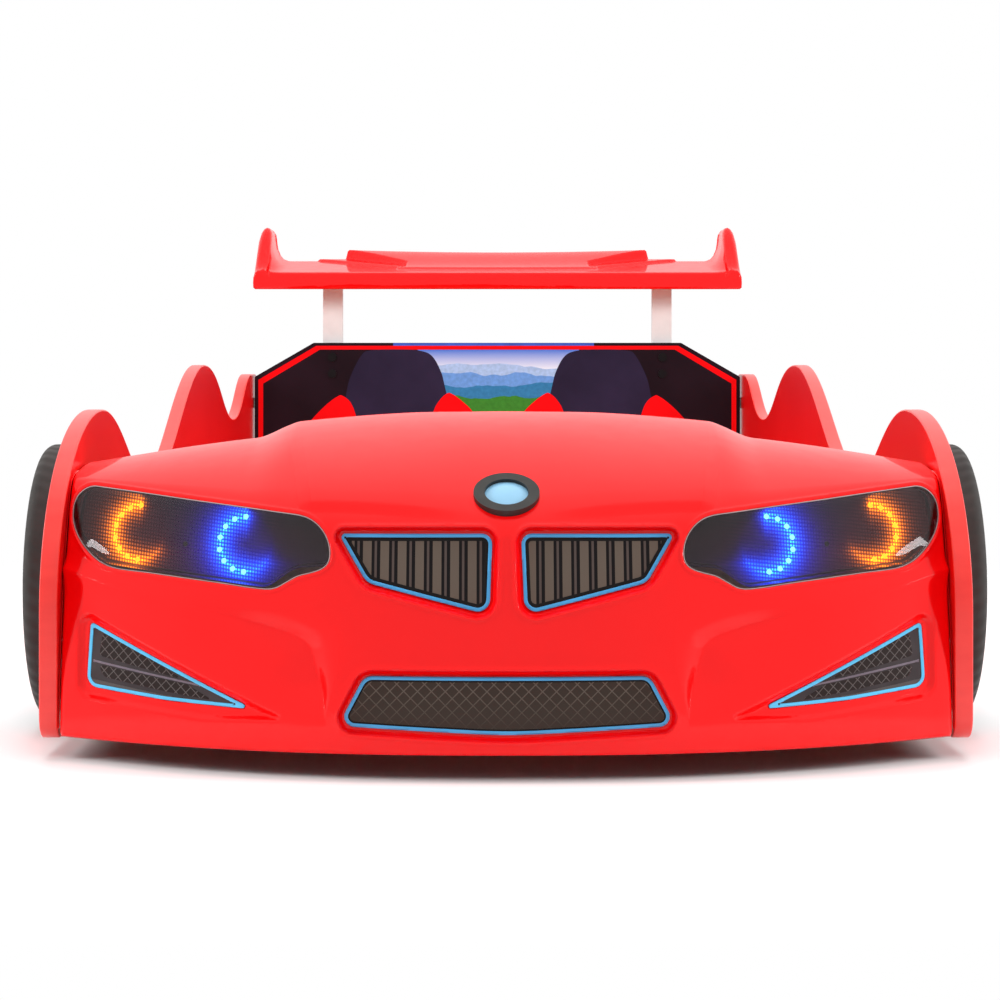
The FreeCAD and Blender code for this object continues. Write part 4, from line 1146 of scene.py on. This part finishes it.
def headboard_print():
    edge = [(-457, 25), (-457, 389), (-346, 453), (346, 453), (457, 389), (457, 25)]

    def inner(margin):
        points = np.array(edge, float)
        points[:, 0] -= np.sign(points[:, 0]) * margin
        points[1:5, 1] -= margin * 0.8
        points[2:4, 0] += np.sign(points[2:4, 0]) * margin * 0.25
        return [tuple(point) for point in points]
    navy = plain("print_navy", (0.022, 0.015, 0.040), 0.5, 0.2, 10.0, 0.05,
                 Specular_IOR_Level=0.12)
    blue = plain("print_blue", (0.03, 0.10, 0.55), 0.35, 0.2, 30.0, 0.05)
    flat_shape("print_border", inner(7), 0.3, MATERIALS["print_red"])
    flat_shape("print_ground", inner(16), 0.45, MATERIALS["print_field"])
    flat_shape("print_strip", [(-196, 447.5), (-196, 452.6), (182, 452.6), (182, 447.5)], 0.45, blue)
    flat_shape("print_picture", [(-150, 300), (-150, 440), (154, 440), (154, 300)], 0.6, ridge_picture())
    seat = [(-240, 438.5), (-194, 440.5), (-148, 438.5), (-123, 428), (-106, 398), (-99, 370), (-92, 340),
            (-88, 300), (-90, 235), (-96, 176), (-190, 170), (-282, 176), (-292, 235),
            (-300, 300), (-292, 330), (-285.6, 351), (-277.5, 387), (-257, 428)]
    outer = [(-384, 240), (-374, 276), (-351.7, 306), (-325, 334), (-301, 352), (-291, 353), (-276, 340),
             (-265.5, 313), (-260, 280), (-262, 230), (-272, 176), (-325, 170), (-376, 180)]
    inner = [(-130, 280), (-120.4, 323.8), (-108, 346), (-94, 358), (-84, 356), (-66, 343), (-46, 323),
             (-24, 286), (-16, 240), (-24, 180), (-70, 170), (-114, 176), (-128, 230)]
    for hand, name in ((1, "left"), (-1, "right")):
        def turned(poles):
            return [(PRINT_MIDDLE + hand * (x - PRINT_MIDDLE), z) for x, z in curve_points(poles, 10)]
        flat_shape("print_seat_" + name, turned(seat), 0.75, navy)
        flat_shape("print_bolster_outer_" + name, turned(outer), 0.9, MATERIALS["print_red"])
        flat_shape("print_bolster_inner_" + name, turned(inner), 0.9, MATERIALS["print_red"])


# ================================================================ finishes of the carried-over nodes

def dress(names, finish):
    for name in names:
        data = frame["nodes"][name].data
        data.materials.clear()
        data.materials.append(finish)


def dress_nodes():
    nodes = sorted(frame["nodes"])
    finishes = {
        "slat_screws": "steel", "slat_": "pine", "mattress_rail": "pine", "centre_beam": "pine",
        "support_legs": "pine", "corner_brackets": "steel", "wood_screws": "steel",
        "wheel_screws": "steel", "wheel_rim": "rim", "tyre": "tyre", "hub_caps": "gloss_black",
        "side_panel": "board", "wing_bolts": "bolt", "wing_post": "post", "rear_wing": "shell",
        "front_bulkhead": "raw_board", "headboard": "print_field", "floor_feet": "black",
        "control_box": "black", "cable_clips": "black", "rocker_switch": "black",
        "dc_inlet": "black", "lamp_leads": "black", "leds_amber": "amber",
        "leds_blue": "blue", "badge_ring": "badge_ring", "badge_disc": "badge_disc",
    }
    for name in nodes:
        for start, finish in finishes.items():
            if name.startswith(start):
                dress([name], MATERIALS[finish])
                break
    lamps = ["headlight_housing_left", "headlight_housing_right"]
    lamps += ["led_strip_%s_%s" % (colour, side) for colour in ("amber", "blue")
              for side in ("left", "right")]
    # housings and LED strips get the dark tray with its painted glow
    dress(lamps, reflector_painted_glow())


# ================================================================ stage, light and camera

FLOOR_COLOUR = (0.9, 0.9, 0.9)
FLOOR_SIZE = 8
FLOOR_CORE = (0.42, 1.00)
FLOOR_SOLID = 0.25
FLOOR_CLEAR = 0.85
ROOM_LEVEL = 0.34


def stage():
    """A pale floor round the bed that fades out into the white background."""
    bpy.ops.mesh.primitive_plane_add(size=FLOOR_SIZE, location=(0, 0, 0))
    floor = bpy.context.active_object
    floor.name = "floor"
    made = material("floor", FLOOR_COLOUR, 1.0, Specular_IOR_Level=0.0)
    shader = shader_of(made)
    _, (x, y, _) = coordinates(made)
    reach = []
    for axis, core in zip((x, y), FLOOR_CORE):
        beyond = minus(made, absolute(made, axis), core)
        beyond = larger(made, beyond, 0.0)
        reach.append(times(made, beyond, beyond))
    distance = math_node(made, "SQRT", plus(made, reach[0], reach[1]))
    fade = soft_step(made, distance, FLOOR_SOLID, FLOOR_CLEAR)
    clear = node(made, "ShaderNodeBsdfTransparent")
    blend = node(made, "ShaderNodeMixShader")
    link(made, fade, blend.inputs[0])
    link(made, shader.outputs[0], blend.inputs[1])
    link(made, clear.outputs[0], blend.inputs[2])
    link(made, blend.outputs[0], made.node_tree.nodes["Material Output"].inputs["Surface"])
    floor.data.materials.append(made)


def light(name, place, target, size, power, shine=True, spread=True):
    """A soft box; shine lets it show in glossy surfaces, spread lets it light matt ones."""
    data = bpy.data.lights.new(name, "AREA")
    data.shape = "RECTANGLE" if min(size) > 0.1 else "ELLIPSE"
    data.size, data.size_y = size
    data.energy = power
    lamp = bpy.data.objects.new(name, data)
    lamp.location = place
    lamp.rotation_euler = (Vector(target) - Vector(place)).to_track_quat("-Z", "Y").to_euler()
    lamp.visible_glossy = shine
    lamp.visible_transmission = shine
    lamp.visible_diffuse = spread
    bpy.context.scene.collection.objects.link(lamp)


def world():
    """White to the eye, in reflections and through the lenses; plain soft fill for all other rays."""
    made = bpy.data.worlds.new("studio")
    bpy.context.scene.world = made
    made.use_nodes = True
    path = node(made, "ShaderNodeLightPath")
    seen = path.outputs["Is Camera Ray"]
    for kind in ("Is Glossy Ray", "Is Transmission Ray"):
        seen = larger(made, seen, path.outputs[kind])
    level = node(made, "ShaderNodeMix", data_type="FLOAT")
    link(made, seen, level.inputs["Factor"])
    level.inputs["A"].default_value = ROOM_LEVEL
    level.inputs["B"].default_value = 1.0
    background = made.node_tree.nodes["Background"]
    link(made, level.outputs[0], background.inputs["Strength"])
    background.inputs["Color"].default_value = (1.0, 1.0, 1.0, 1.0)


CAMERA_PLACE = (-0.0195, -3.5135, 0.398)
CAMERA_LENS = 87.2
CAMERA_SENSOR = 36.0
CAMERA_SHIFT = (0.013, -0.128)


def camera():
    """Level and straight from the front; the shift sets the frame as in the photograph."""
    data = bpy.data.cameras.new("camera")
    data.lens = CAMERA_LENS
    data.sensor_width = CAMERA_SENSOR
    data.shift_x, data.shift_y = CAMERA_SHIFT
    cam = bpy.data.objects.new("camera", data)
    cam.location = CAMERA_PLACE
    cam.rotation_euler = (math.radians(90), 0, 0)
    bpy.context.scene.collection.objects.link(cam)
    bpy.context.scene.camera = cam


def lights():
    """Soft boxes over and before the bed, and on each side one with a strip and a spot for the gloss."""
    light("ceiling", (0, 0.4, 3.2), (0, 0.2, 0.3), (3.4, 3.6), 120, shine=False)
    light("front", (0, -3.6, 3.0), (0, -1.0, 0.2), (4.0, 1.6), 53, shine=False)
    for hand, name in ((-1, "left"), (1, "right")):
        aim = (0.4 * hand, -1.0, 0.25)
        light(name + "_side", (3.4 * hand, -1.3, 1.5), aim, (1.0, 1.2), 72, shine=False)
        light(name + "_strip", (3.0 * hand, -0.7, 1.1), aim, (0.16, 1.4), 14, spread=False)
        light(name + "_spot", (3.0 * hand, -1.62, 1.58), aim, (0.26, 0.09), 0.6, spread=False)


dress_nodes()
shell()
flanges()
plates()
lenses()
wing()
panels()
headboard_print()
stage()
world()
lights()
camera()
bpy.context.scene.view_settings.view_transform = "Standard"
